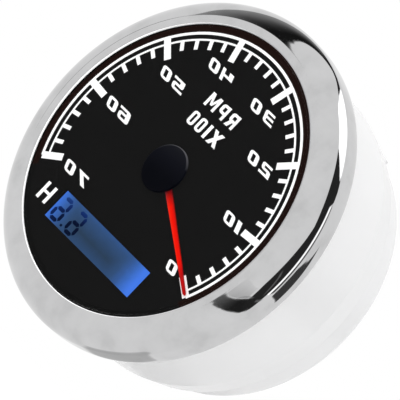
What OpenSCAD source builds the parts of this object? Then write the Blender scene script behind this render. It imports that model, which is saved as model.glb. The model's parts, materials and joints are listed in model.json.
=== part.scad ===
// Boat tachometer for a round panel hole: rolled bezel, domed lens, printed dial with an hour
// display, geared stepping movement and a stepped moulded housing with two rear studs.
// Lengths are millimetres. The panel face is the plane y = 0, the dial faces -Y, twelve
// o'clock is +Z and the housing runs back along +Y.

/* [Bezel] */
// Outside diameter of the bezel
bezel_d = 93; // [88:0.5:100]
// Height of the bezel in front of the panel, to the edge of the window
bezel_h = 10.05; // [9.6:0.05:12]
// Width of the bezel's face, from the edge of the window to the outside
bezel_w = 7.7; // [7.2:0.1:8.4]
// Thickness of the rolled sheet
sheet_t = 0.7; // [0.5:0.05:0.8]
// Thickness of the coined edge of the window
lip_t = 0.4; // [0.3:0.05:0.5]
// Width of the flat land between the window and the rounded rim
land_w = 2.2; // [2:0.1:2.5]
// Rise of the land from the window to the crease
land_rise = 0.05; // [0.05:0.05:0.5]
// Height of the straight side wall
wall_h = 4.8; // [4:0.1:5.4]
// Width of the hem rolled in behind the flange
hem_w = 3.3; // [2:0.1:3.5]

/* [Housing] */
// Reach of the bezel past the barrel, which covers the edge of the panel's hole
panel_lap = 4.4; // [4:0.1:4.8]
// Length of the straight barrel behind the panel
barrel_l = 21.2; // [18:0.1:30]
// Length of the tapered shoulder behind the barrel
taper_l = 7; // [5:0.5:10]
// Fall of the radius along the shoulder
taper_step = 1.7; // [1.4:0.1:2]
// Step of the radius from the shoulder to the rear drum
drum_step = 2.8; // [2.4:0.1:4]
// Length of the rear drum
drum_l = 10.5; // [10:0.1:16]
// Radius of the rear edge
rear_edge_r = 3; // [2:0.5:4]
// Reach of the bore past the window, where the bezel's lip covers the dial
seat_lap = 0.4; // [0.35:0.05:0.8]
// Thickness of the rear wall and the drum
wall_t = 2.6; // [2:0.1:3]
// Height of the two bracket ears above the drum
ear_out = 0.9; // [0.6:0.1:1.5]
// Width of a bracket ear
ear_w = 17.5; // [14:0.5:24]

/* [Lens] */
// Height of the dome above the window's edge
dome_h = 2.6; // [2.3:0.1:3.5]
// Thickness of the lens
lens_t = 1; // [0.8:0.05:1.1]
// Thickness of the lens flange
lens_flange_t = 0.6; // [0.5:0.05:0.7]
// Height of the dome's upright edge above the window's edge
dome_edge = 0.9; // [0.8:0.05:1.2]

/* [Dial] */
// Hand of the dial: -1 as pictured, 1 for a scale that reads clockwise
print_hand = -1; // [-1, 1]
// Angle that the scale covers
sweep = 240; // [180:10:270]
// Number of large divisions on the scale
divisions = 7; // [4:1:10]
// Number of small divisions in a large one
small_divisions = 5; // [2:1:5]
// Gap between the window's edge and the outer arc of the scale
arc_gap = 2.1; // [1.8:0.1:6]
// Thickness of the dial plate
dial_t = 0.6; // [0.4:0.1:0.8]
// Height of the dial's face above its rim, which brings the print level with the window
dial_raise = 0.6; // [0.4:0.1:0.8]
// Thickness of the printed ink
ink_t = 0.06; // [0.04:0.01:0.1]
// Width of the display window
lcd_w = 36.7; // [30:0.1:38]
// Height of the display window
lcd_h = 8; // [6:0.5:9]
// Distance of the display's middle from the edge of the window
lcd_in = 14.8; // [14:0.2:17]

/* [Pointer] */
// Gap between the window's edge and the pointer's tip
tip_gap = 2.8; // [2.5:0.1:12]
// Width of the pointer at its root
pointer_root_w = 2; // [1.6:0.1:2.2]
// Width of the pointer at its tip
pointer_tip_w = 0.8; // [0.6:0.1:1]
// Thickness of the pointer
pointer_t = 0.35; // [0.3:0.05:0.4]
// Gap between the dial and the pointer
pointer_gap = 0.35; // [0.3:0.05:0.5]
// Diameter of the pointer's cap
cap_d = 12.5; // [10:0.1:14]
// Height of the pointer's cap
cap_h = 0.7; // [0.6:0.1:0.9]

/* [Movement] */
// Module of the gear teeth
gear_m = 0.4; // [0.36:0.01:0.42]
// Teeth of a wheel
wheel_n = 40; // [36:2:42]
// Teeth of a pinion
pinion_n = 10; // [10:1:12]
// Play between meshed teeth
backlash = 0.12; // [0.08:0.01:0.16]
// Thickness of a wheel
wheel_t = 1; // [0.8:0.1:1.2]
// Diameter of the pointer shaft
shaft_d = 1.5; // [1.2:0.1:1.6]
// Diameter of the rotor's magnet
magnet_d = 6.4; // [5.6:0.2:6.8]
// Length of the rotor's magnet
magnet_l = 3.4; // [3:0.1:3.8]
// Wall of the movement's case
case_t = 1; // [0.8:0.1:1.2]

/* [Boards] */
// Thickness of a circuit board
board_t = 1.6; // [1:0.1:1.6]
// Width of the rear terminal board
rear_board_w = 46; // [44:1:48]
// Height of the rear terminal board
rear_board_h = 34; // [30:1:36]

/* [Rear] */
// Distance between the two mounting studs
stud_gap = 56; // [54:1:58]
// Diameter of a mounting stud
stud_d = 4; // [3.5:0.5:4.5]
// Length of a stud behind the rear wall
stud_l = 20; // [16:1:22]
// Width of the socket for the wiring plug, outside
socket_w = 24; // [20:1:26]
// Height of the socket, outside
socket_h = 13; // [11:1:15]
// Reach of the socket behind the rear wall
socket_out = 6; // [4:0.5:10]
// Number of contacts in a row of the socket
contact_n = 4; // [2:1:5]
// Diameter of the setting button
button_d = 6; // [5:0.5:7]
// Travel of the setting button
button_travel = 0.8; // [0.4:0.1:0.8]

/* [Hidden] */
$fn = 96;

// Clearances
seat_gap = 0.05;
slip_gap = 0.3;
run_gap = 0.05;
press_gap = 0;
side_gap = 0.1;
// Overshoot of a cutting tool past the face that it cuts
over = 1;

// Bezel and flange
bezel_r = bezel_d / 2;
window_r = bezel_r - bezel_w;
crease_r = window_r + land_w;
crease_z = bezel_h + land_rise;
hem_r = bezel_r - hem_w;
rim_steps = 14;
// Exponent of the rim's outline: 2 is a plain ellipse, less is flatter
rim_power = 1.75;

// Lens and gasket stack, from the bezel's lip backwards
lens_r = crease_r - side_gap;
flange_front_z = bezel_h - lip_t;
flange_back_z = flange_front_z - lens_flange_t;
dome_r = window_r - slip_gap;
apex_z = bezel_h + dome_h;
gasket_t = 1;
gasket_back_z = flange_back_z - gasket_t;
bore_r = window_r + seat_lap;
gasket_in_r = bore_r + side_gap;
seat_r = lens_r + side_gap;

// Dial stack: the dial is a shallow dish whose rim lies under the lens flange
rim_z = flange_back_z - seat_gap;
rim_back_z = rim_z - dial_t;
dial_z = rim_z + dial_raise;
dial_back_z = dial_z - dial_t;
dial_r = bore_r - slip_gap;
face_r = dome_r - lens_t - slip_gap;
guide_t = 2;
guide_back_z = rim_back_z - guide_t;
guide_top_r = face_r - dial_t - slip_gap;
lcd_drop = window_r - lcd_in;
lcd_border = 1.3;
lcd_panel_w = lcd_w + 2 * lcd_border;
lcd_panel_h = lcd_h + 2 * lcd_border;
lcd_panel_t = 2;
lcd_back_z = dial_back_z - seat_gap - lcd_panel_t;
board_z = 0.8;
board_back_z = board_z - board_t;
board_r = bore_r - 2 * slip_gap;

// Scale
division = sweep / divisions;
zero_angle = 90 + print_hand * sweep / 2;
arc_w = 0.5;
outer_arc_in = 1.15;
outer_arc_w = 0.7;
long_tick_l = 6;
long_tick_w = 1.85;
short_tick_l = 2.6;
short_tick_w = 1.05;
outer_arc_r = window_r - arc_gap;
arc_r = outer_arc_r - outer_arc_w - outer_arc_in;

// Pointer
pointer_l = window_r - tip_gap;
pointer_z = dial_z + pointer_gap;
pointer_top_z = pointer_z + pointer_t;
hub_r = 2.4;
cap_edge = 0.3;

// Gears: the three axes lie on a line upwards from the pointer's axis
pitch_angle = 20;
addendum = 0.85;
dedendum = 1.2;
axis_step = gear_m * (wheel_n + pinion_n) / 2;
middle_y = axis_step;
rotor_y = 2 * axis_step;
wheel_tip_r = gear_m * (wheel_n / 2 + addendum);
shaft_r = shaft_d / 2;
middle_axle_r = 0.5;
rotor_axle_r = 0.4;
magnet_r = magnet_d / 2;

// Movement levels, all behind the circuit board
base_t = 1.2;
base_back_z = board_back_z - base_t;
wheel_gap = 0.4;
output_z = base_back_z - wheel_gap;
middle_z = output_z - wheel_t - 1.5 * wheel_gap;
magnet_z = middle_z - wheel_t - 1.5 * wheel_gap;
magnet_back_z = magnet_z - magnet_l;
cover_floor_z = magnet_back_z - 3.5 * wheel_gap;
cover_back_z = cover_floor_z - case_t;
movement_margin = 1;
movement_w = 2 * (wheel_tip_r + 4.4);
movement_low_y = -(wheel_tip_r + movement_margin + case_t);
coil_r = 2.2;
coil_l = 11;
coil_x = wheel_tip_r + 0.8;
coil_z = magnet_back_z + 1.3;
limb = 1.2;
pole_gap = 0.4;
yoke_y = rotor_y + magnet_r + 1.4;
movement_high_y = yoke_y + 2.6 + case_t;
movement_corner = 4;

// Housing levels behind the panel
barrel_r = bezel_r - panel_lap;
taper_r = barrel_r - taper_step;
drum_r = taper_r - drum_step;
ear_r = drum_r + ear_out;
ear_back = 1.3;
barrel_z = -barrel_l;
taper_z = barrel_z - taper_l;
rear_z = taper_z - drum_l;
step_t = 0.7;
drum_z = taper_z - step_t;
wall_z = rear_z + wall_t;
drum_in_r = drum_r - wall_t;
step_floor_z = taper_z + wall_t;
post_r = 2.8;
post_at = bore_r - post_r - 0.6;
screw_r = 1.1;
screw_head_r = 2.2;
screw_head_h = 1.6;
screw_l = 9;
lug_t = 2;
guide_hole_r = 3;

// Parts on the circuit board, clear of the movement, the ribbon and the posts
part_gap = 0.8;
led_gap = 5;
led_r = post_at - post_r - led_gap;
can_gap = 5.2;
can_r = 4;
can_l = 10;
can_step = 14;
can_drop = 1.6;
can_x = movement_w / 2 + can_gap + can_r;
can_low_y = movement_low_y - can_drop;

// Rear terminal board, socket and button
rear_board_z = wall_z + 4.5;
rear_post_r = 2.2;
rear_post_x = rear_board_w / 2 - 4;
rear_post_y = rear_board_h / 2 - 4;
rear_screw_r = 0.9;
socket_x = -4;
socket_wall = 1.4;
socket_mouth_z = rear_z - socket_out;
socket_floor_t = 2;
socket_floor_z = rear_board_z - socket_floor_t;
contact_pitch = 4.2;
contact_r = 0.5;
contact_l = 5.5;
button_in = 6;
button_x = rear_board_w / 2 - button_in;
button_r = button_d / 2;
button_out = 2;
button_flange_r = button_r + 1;
button_flange_t = 0.7;
button_inner_z = wall_z + seat_gap + button_flange_t;
switch_gap = 0.2;
switch_back_z = button_inner_z + button_travel + switch_gap;
switch_w = 6;
ribbon_w = 12;
ribbon_t = 1;
ribbon_front_y = -19;
ribbon_back_y = -13;

// Studs and their hardware
stud_r = stud_d / 2;
thread_h = 0.35;
core_r = stud_r - thread_h;
stud_y = stud_gap / 2;
head_af = 1.75 * stud_d;
head_t = 2.8;
washer_r = 1.15 * stud_d;
washer_t = 0.8;
nut_t = 0.8 * stud_d;
nut_front_z = rear_z - washer_t;
nut_back_z = nut_front_z - nut_t;
stud_boss_r = head_af / 2 / cos(30) + 1.6;

// Stand the drawing up: its x stays, its y becomes +Z and its z, the way to the front, becomes -Y
module gauge() {
    rotate([90, 0, 0]) children();
}

// A turned ring or cup, from points of [radius, height]
module turned(points) {
    rotate_extrude($fn = 180) polygon(points);
}

// A rod between two heights
module rod(r, z0, z1) {
    translate([0, 0, min(z0, z1)]) cylinder(h = abs(z1 - z0), r = r);
}

// A plate with round corners between two heights
module plate(w, h, r, z0, z1) {
    translate([0, 0, min(z0, z1)]) linear_extrude(abs(z1 - z0)) union() {
        square([w - 2 * r, h], center = true);
        square([w, h - 2 * r], center = true);
        for (x = [-1, 1], y = [-1, 1])
            translate([x * (w / 2 - r), y * (h / 2 - r)]) circle(r, $fn = 48);
    }
}

// A block centred on x and y between two heights
module block(w, h, z0, z1) {
    translate([-w / 2, -h / 2, min(z0, z1)]) cube([w, h, abs(z1 - z0)]);
}

// A hexagonal rod, measured across its flats
module hexagon(af, z0, z1) {
    translate([0, 0, min(z0, z1)]) cylinder(h = abs(z1 - z0), r = af / 2 / cos(30), $fn = 6);
}

// The crossed slots in a screw's head, between two heights
module cross_slot(l, w, z0, z1) {
    for (a = [0, 90]) rotate(a) block(l, w, z0, z1);
}

// Put copies at the four corners of a rectangle
module corners(x, y) {
    for (sx = [-1, 1], sy = [-1, 1]) translate([sx * x, sy * y, 0]) children();
}

// Put copies at the four board posts
module at_posts() {
    for (a = [45 : 90 : 315]) rotate(a) translate([post_at, 0, 0]) children();
}

// Put copies at the two studs
module at_studs() {
    for (side = [-1, 1]) translate([0, side * stud_y, 0]) children();
}

// Put copies at the contacts of the socket
module at_contacts() {
    for (row = [-1, 1], i = [0 : contact_n - 1])
        translate([socket_x + (i - (contact_n - 1) / 2) * contact_pitch, row * contact_pitch / 2, 0])
            children();
}

// Points of the bezel's rim from its crease to its side wall, moved inwards by a thickness.
// The rim is a quarter of a flattened ellipse.
function rim(inset) = [
    for (i = [0 : rim_steps])
        let (a = 90 - 90 * i / rim_steps, e = 2 / rim_power)
        [crease_r + (bezel_r - inset - crease_r) * pow(cos(a), e),
            wall_h + (crease_z - inset - wall_h) * pow(sin(a), e)]
];

// Points of an arc in a turned section
function arc_points(c, r, a0, a1, n) = [
    for (i = [0 : n])
        let (a = a0 + (a1 - a0) * i / n)
        [c[0] + r * cos(a), c[1] + r * sin(a)]
];

// Height of a shallow dome at a radius: a circle through the apex and the rim
function dome_at(r, top, edge_r, edge_z) =
    let (sag = top - edge_z, ball = (edge_r * edge_r + sag * sag) / (2 * sag))
    top - ball + sqrt(ball * ball - r * r);

// Involute of an angle, in degrees
function involute(a) = tan(a) * 180 / PI - a;

// Half the angle that a tooth covers at a radius
function tooth_half(r, n) =
    let (pitch_r = gear_m * n / 2,
        base_r = pitch_r * cos(pitch_angle),
        thick = gear_m * PI / 2 - backlash / 2,
        here = r > base_r ? acos(base_r / r) : 0)
    thick / (2 * pitch_r) * 180 / PI + involute(pitch_angle) - involute(here);

// Outline of a spur gear with a tooth centred on +X
function gear_points(n) =
    let (root_r = gear_m * (n / 2 - dedendum), tip_r = gear_m * (n / 2 + addendum), flank = 4)
    [
        for (t = [0 : n - 1], side = [-1, 1], i = [0 : flank])
            let (k = side < 0 ? i : flank - i,
                r = root_r + (tip_r - root_r) * k / flank,
                a = t * 360 / n + side * tooth_half(r, n))
            [r * cos(a), r * sin(a)]
    ];

// A spur gear between two heights
module gear(n, z0, z1) {
    translate([0, 0, min(z0, z1)]) linear_extrude(abs(z1 - z0)) polygon(gear_points(n));
}

module bezel() {
    edge = 0.5;
    outer = concat([[window_r, bezel_h]], rim(0),
        arc_points([bezel_r - edge, edge], edge, 0, -90, 5));
    inner = concat([[hem_r, 0], [hem_r, sheet_t], [bezel_r - sheet_t, sheet_t]],
        [for (i = [rim_steps : -1 : 0]) rim(sheet_t)[i]],
        [[crease_r, flange_front_z], [window_r, flange_front_z]]);
    color([0.78, 0.79, 0.8]) gauge() turned(concat(outer, inner));
}

module lens() {
    edge_z = bezel_h + dome_edge;
    shoulder = 0.9;
    crown_z = edge_z + shoulder * 0.75;
    in_r = dome_r - lens_t;
    steps = 12;
    outer = concat([[lens_r, flange_back_z], [lens_r, flange_front_z], [dome_r, flange_front_z],
            [dome_r, edge_z]],
        [for (i = [1 : 3]) [dome_r - shoulder * (1 - cos(30 * i)), edge_z + 0.75 * shoulder * sin(30 * i)]],
        [for (i = [steps - 1 : -1 : 0])
            let (r = (dome_r - shoulder) * i / steps)
            [r, dome_at(r, apex_z, dome_r - shoulder, crown_z)]]);
    inner = concat([for (i = [0 : steps])
            let (r = in_r * i / steps)
            [r, dome_at(r, apex_z, dome_r - shoulder, crown_z) - lens_t]],
        [[in_r, flange_back_z]]);
    color([0.85, 0.9, 0.92, 0.3]) gauge() turned(concat(outer, inner));
}

module lens_gasket() {
    color([0.06, 0.06, 0.07]) gauge() difference() {
        rod(lens_r, gasket_back_z, flange_back_z);
        rod(gasket_in_r, gasket_back_z - over, flange_back_z + over);
    }
}

// The window that the display shows through
module lcd_cut(w, h, z0, z1) {
    translate([0, -lcd_drop, 0]) block(w, h, z0, z1);
}

module dial_plate() {
    shaft_hole_r = shaft_r + 0.85;
    color([0.05, 0.05, 0.05]) gauge() difference() {
        turned([[0, dial_back_z], [face_r - dial_t, dial_back_z], [face_r - dial_t, rim_back_z],
            [dial_r, rim_back_z], [dial_r, rim_z], [face_r, rim_z], [face_r, dial_z], [0, dial_z]]);
        rod(shaft_hole_r, dial_back_z - over, dial_z + over);
        lcd_cut(lcd_w, lcd_h, dial_back_z - over, dial_z + over);
    }
}

// A printed arc over the scale's sweep
module ink_arc(r_in, r_out) {
    translate([0, 0, dial_z]) rotate(90 - sweep / 2)
        rotate_extrude(angle = sweep, $fn = 180) translate([r_in, 0]) square([r_out - r_in, ink_t]);
}

// A printed tick that ends at an outer radius
module ink_tick(a, length, width, r_out) {
    rotate(a) translate([r_out - length, -width / 2, dial_z]) cube([length, width, ink_t]);
}

module scale_print() {
    small = division / small_divisions;
    color("white") gauge() union() {
        ink_arc(arc_r - arc_w, arc_r);
        ink_arc(outer_arc_r - outer_arc_w, outer_arc_r);
        for (i = [0 : divisions])
            ink_tick(90 - sweep / 2 + i * division, long_tick_l, long_tick_w, outer_arc_r - outer_arc_w / 2);
        for (i = [0 : divisions - 1], k = [1 : small_divisions - 1])
            ink_tick(90 - sweep / 2 + i * division + k * small, short_tick_l, short_tick_w,
                arc_r - arc_w / 2);
    }
}

module light_guide() {
    color([0.9, 0.92, 0.95, 0.5]) gauge() difference() {
        union() {
            rod(dial_r, guide_back_z, rim_back_z);
            rod(guide_top_r, guide_back_z, dial_back_z);
        }
        rod(guide_hole_r, guide_back_z - over, dial_back_z + over);
        lcd_cut(lcd_panel_w + 2 * slip_gap, lcd_panel_h + 2 * slip_gap,
            guide_back_z - over, dial_back_z + over);
    }
}

module lcd_panel() {
    color([0.2, 0.4, 0.95]) gauge() lcd_cut(lcd_panel_w, lcd_panel_h, lcd_back_z, lcd_back_z + lcd_panel_t);
}

module lcd_backlight() {
    color([0.9, 0.9, 0.95]) gauge() lcd_cut(lcd_panel_w, lcd_panel_h, board_z, lcd_back_z);
}

module carrier() {
    ring_w = 2.5;
    spoke_w = 2;
    pocket_wall = 1.2;
    pocket_w = lcd_panel_w + 2 * slip_gap;
    pocket_h = lcd_panel_h + 2 * slip_gap;
    tube_wall = 1.4;
    tube_r = guide_hole_r + tube_wall;
    tie_end = sqrt(pow(dial_r - ring_w / 2, 2) - pow(lcd_drop + spoke_w / 2, 2));
    color([0.1, 0.1, 0.11]) gauge() difference() {
        union() {
            difference() {
                rod(dial_r, board_z, guide_back_z);
                rod(dial_r - ring_w, board_z - over, guide_back_z + over);
            }
            rod(tube_r, board_z, guide_back_z);
            for (a = [0, 90, 180])
                rotate(a) translate([tube_r - 0.5, -spoke_w / 2, board_z])
                    cube([dial_r - ring_w - tube_r + 1, spoke_w, guide_back_z - board_z]);
            translate([0, -(tube_r + lcd_drop - pocket_h / 2) / 2, 0])
                block(spoke_w, lcd_drop - pocket_h / 2 - tube_r + 1, board_z, guide_back_z);
            lcd_cut(pocket_w + 2 * pocket_wall, pocket_h + 2 * pocket_wall, board_z, guide_back_z);
            for (side = [-1, 1])
                translate([side * (pocket_w / 2 + tie_end) / 2, -lcd_drop, 0])
                    block(tie_end - pocket_w / 2, spoke_w, board_z, guide_back_z);
            at_posts() rod(post_r, board_z, board_z + lug_t);
        }
        rod(guide_hole_r, board_z - over, guide_back_z + over);
        lcd_cut(pocket_w, pocket_h, board_z - over, guide_back_z + over);
        at_posts() {
            rod(screw_head_r + slip_gap, board_z + lug_t, guide_back_z + over);
            rod(screw_r + slip_gap, board_z - over, guide_back_z + over);
        }
    }
}

module circuit_board() {
    color([0.05, 0.3, 0.12]) gauge() difference() {
        rod(board_r, board_back_z, board_z);
        rod(guide_hole_r, board_back_z - over, board_z + over);
        at_posts() rod(screw_r + slip_gap, board_back_z - over, board_z + over);
    }
}

module board_screws() {
    color([0.7, 0.7, 0.72]) gauge() at_posts() difference() {
        union() {
            rod(screw_head_r, board_z + lug_t, board_z + lug_t + screw_head_h);
            rod(screw_r, board_z + lug_t - screw_l, board_z + lug_t);
        }
        cross_slot(2.6, 0.6, board_z + lug_t + 0.8, board_z + lug_t + screw_head_h + over);
    }
}

module backlight_leds() {
    led_w = 2.8;
    led_h = 3.5;
    led_t = 0.8;
    color([0.95, 0.95, 0.85]) gauge()
        for (a = [-15 : 30 : 195])
            rotate(a) translate([led_r, 0, 0]) block(led_w, led_h, board_z, board_z + led_t);
}

module control_chip() {
    side = 9;
    thick = 1.6;
    lead_n = 8;
    pitch = 1;
    foot = 0.3;
    lead_out = 1;
    lead_in = 0.2;
    lead_w = 0.4;
    reach = side / 2 + lead_out;
    chip_x = -(ribbon_w / 2 + part_gap + reach);
    chip_y = movement_low_y - part_gap - reach;
    color([0.08, 0.08, 0.08]) gauge() translate([chip_x, chip_y, 0]) union() {
        block(side, side, board_back_z - foot, board_back_z - thick);
        for (a = [0 : 90 : 270], i = [0 : lead_n - 1])
            rotate(a) translate([side / 2 + (lead_out - lead_in) / 2, (i - (lead_n - 1) / 2) * pitch, 0])
                block(lead_out + lead_in, lead_w, board_back_z, board_back_z - thick / 2);
    }
}

module capacitors() {
    foot_t = 1.2;
    color([0.75, 0.75, 0.78]) gauge()
        for (i = [0, 1]) translate([can_x, can_low_y + i * can_step, 0]) union() {
            rod(can_r, board_back_z - foot_t, board_back_z - can_l);
            block(2 * can_r, 2 * can_r, board_back_z, board_back_z - foot_t);
        }
}

// Outline of the movement's case between two heights, moved inwards by a wall
module movement_plan(inset, z0, z1) {
    h = movement_high_y - movement_low_y;
    translate([0, movement_low_y + h / 2, 0])
        plate(movement_w - 2 * inset, h - 2 * inset, movement_corner - inset, z0, z1);
}

module movement_base() {
    bush_r = guide_hole_r - slip_gap;
    color([0.85, 0.85, 0.82]) gauge() difference() {
        union() {
            movement_plan(0, base_back_z, board_back_z);
            rod(bush_r, board_back_z - base_t / 2, guide_back_z);
        }
        rod(shaft_r + run_gap, base_back_z - over, guide_back_z + over);
        translate([0, middle_y, 0])
            rod(middle_axle_r + run_gap, base_back_z - over, board_back_z - case_t / 3);
        translate([0, rotor_y, 0])
            rod(rotor_axle_r + run_gap, base_back_z - over, board_back_z - case_t / 3);
    }
}

module movement_cover() {
    bush_wall = 1;
    bush_z = middle_z - wheel_t - wheel_gap;
    color([0.8, 0.8, 0.78]) gauge() difference() {
        union() {
            difference() {
                movement_plan(0, cover_back_z, base_back_z);
                movement_plan(case_t, cover_floor_z, base_back_z + over);
            }
            rod(shaft_r + bush_wall, cover_back_z, bush_z);
            translate([0, middle_y, 0]) rod(middle_axle_r + bush_wall, cover_back_z, bush_z);
            translate([0, rotor_y, 0])
                rod(rotor_axle_r + bush_wall, cover_back_z, magnet_back_z - wheel_gap);
            for (side = [-1, 1]) translate([side * coil_x, yoke_y, 0])
                rod(limb, cover_back_z, coil_z - limb / 2);
        }
        rod(shaft_r + run_gap, cover_floor_z, base_back_z);
        translate([0, middle_y, 0]) rod(middle_axle_r + run_gap, cover_floor_z, base_back_z);
        translate([0, rotor_y, 0]) rod(rotor_axle_r + run_gap, cover_floor_z, base_back_z);
    }
}

module stator_core() {
    pole_r = magnet_r + pole_gap;
    eye_r = pole_r + 1.4;
    low_y = rotor_y - coil_l - 1.5;
    z0 = coil_z - limb / 2;
    z1 = coil_z + limb / 2;
    color([0.5, 0.5, 0.52]) gauge() difference() {
        union() {
            translate([0, rotor_y, 0]) rod(eye_r, z0, z1);
            translate([0, yoke_y, 0]) block(2 * coil_x + limb, 2 * limb, z0, z1);
            for (side = [-1, 1]) translate([side * coil_x, (low_y + yoke_y) / 2, 0])
                block(limb, yoke_y - low_y, z0, z1);
        }
        translate([0, rotor_y, 0]) rod(pole_r, z0 - over, z1 + over);
    }
}

module coils() {
    cheek_t = 0.8;
    color([0.72, 0.36, 0.15]) gauge() for (side = [-1, 1])
        translate([side * coil_x, rotor_y - 1 - coil_l, coil_z]) rotate([-90, 0, 0]) difference() {
            union() {
                cylinder(h = coil_l, r = coil_r - 0.4);
                for (y = [0, coil_l - cheek_t]) translate([0, 0, y]) cylinder(h = cheek_t, r = coil_r);
            }
            translate([0, 0, coil_l / 2])
                cube([limb + side_gap, limb + side_gap, coil_l + 2 * over], center = true);
        }
}

module rotor() {
    pinion_z = middle_z + wheel_gap / 2;
    color([0.25, 0.25, 0.28]) gauge() translate([0, rotor_y, 0]) union() {
        rod(rotor_axle_r, cover_floor_z + seat_gap, board_back_z - base_t / 2);
        gear(pinion_n, pinion_z, magnet_z);
        rod(magnet_r, magnet_back_z, magnet_z);
    }
}

module middle_gear() {
    color([0.93, 0.92, 0.86]) gauge() translate([0, middle_y, 0]) union() {
        rod(middle_axle_r, cover_floor_z + seat_gap, board_back_z - base_t / 2);
        gear(wheel_n, middle_z - wheel_t, middle_z);
        gear(pinion_n, middle_z - wheel_t / 2, output_z + wheel_gap / 2);
    }
}

module output_gear() {
    hub = 0.6;
    color([0.93, 0.92, 0.86]) gauge() union() {
        rod(shaft_r, cover_floor_z + seat_gap, pointer_top_z);
        gear(wheel_n, output_z - wheel_t, output_z);
        rod(shaft_r + hub, output_z - wheel_t - wheel_gap / 2, output_z + wheel_gap / 2);
    }
}

module needle() {
    tip_taper = 0.4;
    color([0.95, 0.07, 0.02]) gauge() rotate(zero_angle) difference() {
        union() {
            translate([0, 0, pointer_z]) linear_extrude(pointer_t) polygon([
                [0, -pointer_root_w / 2],
                [pointer_l - tip_taper, -pointer_tip_w / 2],
                [pointer_l, -pointer_tip_w / 6],
                [pointer_l, pointer_tip_w / 6],
                [pointer_l - tip_taper, pointer_tip_w / 2],
                [0, pointer_root_w / 2]]);
            rod(hub_r, pointer_z, pointer_top_z);
        }
        rod(shaft_r + press_gap, pointer_z - over, pointer_top_z + over);
    }
}

module needle_cap() {
    r = cap_d / 2;
    top_z = pointer_top_z + cap_h;
    color([0.03, 0.03, 0.04]) gauge() turned(concat(
        [[0, pointer_top_z], [r, pointer_top_z]],
        arc_points([r - cap_edge, top_z - cap_edge], cap_edge, 0, 90, 5),
        [[0, top_z]]));
}

// Section of the housing: flange, barrel, tapered shoulder, rear drum and wall
function housing_points() =
    let (inset = sheet_t + side_gap, neck_r = hem_r - side_gap, e = rear_edge_r)
    concat(
        [[seat_r, gasket_back_z], [seat_r, crease_z - 2 * inset]],
        [for (i = [1 : rim_steps]) rim(inset)[i]],
        [[bezel_r - inset, sheet_t], [neck_r, sheet_t], [neck_r, 0], [barrel_r, 0],
            [barrel_r, barrel_z],
            [taper_r, taper_z], [drum_r, drum_z]],
        arc_points([drum_r - e, rear_z + e], e, 0, -90, 8),
        [[0, rear_z], [0, wall_z], [drum_in_r, wall_z], [drum_in_r, step_floor_z],
            [bore_r, step_floor_z], [bore_r, gasket_back_z]]);

module housing() {
    ear_front_z = taper_z + 0.5;
    ear_end_z = rear_z + ear_back;
    color("white") gauge() difference() {
        union() {
            turned(housing_points());
            intersection() {
                difference() {
                    rod(ear_r, ear_end_z, ear_front_z);
                    rod(drum_in_r, ear_end_z - over, taper_z + over);
                }
                block(ear_w, 4 * ear_r, ear_end_z, ear_front_z);
            }
            intersection() {
                at_posts() union() {
                    rod(post_r, step_floor_z - 1, board_back_z);
                    translate([0, -0.8, step_floor_z - 1])
                        cube([bore_r - post_at + 1, 1.6, board_back_z - step_floor_z + 1]);
                }
                rod(bore_r + 1, rear_z, board_back_z);
            }
            corners(rear_post_x, rear_post_y) rod(rear_post_r, rear_z + 1, rear_board_z);
            at_studs() rod(stud_boss_r, rear_z + 1, wall_z + head_t);
        }
        at_posts() rod(screw_r, board_z + lug_t - screw_l - 1, board_back_z + over);
        corners(rear_post_x, rear_post_y) rod(rear_screw_r, wall_z, rear_board_z + over);
        translate([socket_x, 0, 0])
            block(socket_w + 2 * side_gap, socket_h + 2 * side_gap, rear_z - over, wall_z + over);
        translate([button_x, 0, 0]) rod(button_r + slip_gap, rear_z - over, wall_z + over);
        at_studs() {
            rod(stud_r + side_gap, rear_z - over, wall_z + over);
            hexagon(head_af + 2 * side_gap, wall_z, wall_z + head_t + over);
        }
    }
}

module terminal_board() {
    color([0.05, 0.3, 0.12]) gauge() difference() {
        plate(rear_board_w, rear_board_h, 2, rear_board_z, rear_board_z + board_t);
        corners(rear_post_x, rear_post_y)
            rod(rear_screw_r + slip_gap, rear_board_z - over, rear_board_z + board_t + over);
    }
}

module terminal_screws() {
    head_z = rear_board_z + board_t;
    head_h = 1.2;
    rear_screw_l = 5.5;
    color([0.7, 0.7, 0.72]) gauge() corners(rear_post_x, rear_post_y) difference() {
        union() {
            rod(2 * rear_screw_r, head_z, head_z + head_h);
            rod(rear_screw_r, head_z - rear_screw_l, head_z);
        }
        cross_slot(2.2, 0.5, head_z + head_h / 2, head_z + head_h + over);
    }
}

module link_ribbon() {
    y0 = ribbon_front_y;
    y1 = ribbon_back_y;
    z0 = board_back_z;
    z1 = rear_board_z + board_t;
    bend = 4;
    t = ribbon_t;
    color([0.55, 0.57, 0.6]) gauge() translate([-ribbon_w / 2, 0, 0]) rotate([90, 0, 90])
        linear_extrude(ribbon_w) polygon([
            [y0, z0], [y0, z0 - bend], [y1, z1 + bend + t], [y1, z1],
            [y1 + t, z1], [y1 + t, z1 + bend + t], [y0 + t, z0 - bend], [y0 + t, z0]]);
}

module set_switch() {
    color([0.15, 0.15, 0.16]) gauge() translate([button_x, 0, 0])
        plate(switch_w, switch_w, 0.6, switch_back_z, rear_board_z);
}

module set_button() {
    dish = 0.4;
    color([0.1, 0.1, 0.1]) gauge() translate([button_x, 0, 0]) turned([
        [0, button_inner_z], [button_flange_r, button_inner_z], [button_flange_r, wall_z + seat_gap],
        [button_r, wall_z + seat_gap], [button_r, rear_z - button_out + 0.5],
        [button_r - 0.5, rear_z - button_out], [button_r - 1.2, rear_z - button_out],
        [0, rear_z - button_out + dish]]);
}

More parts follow.
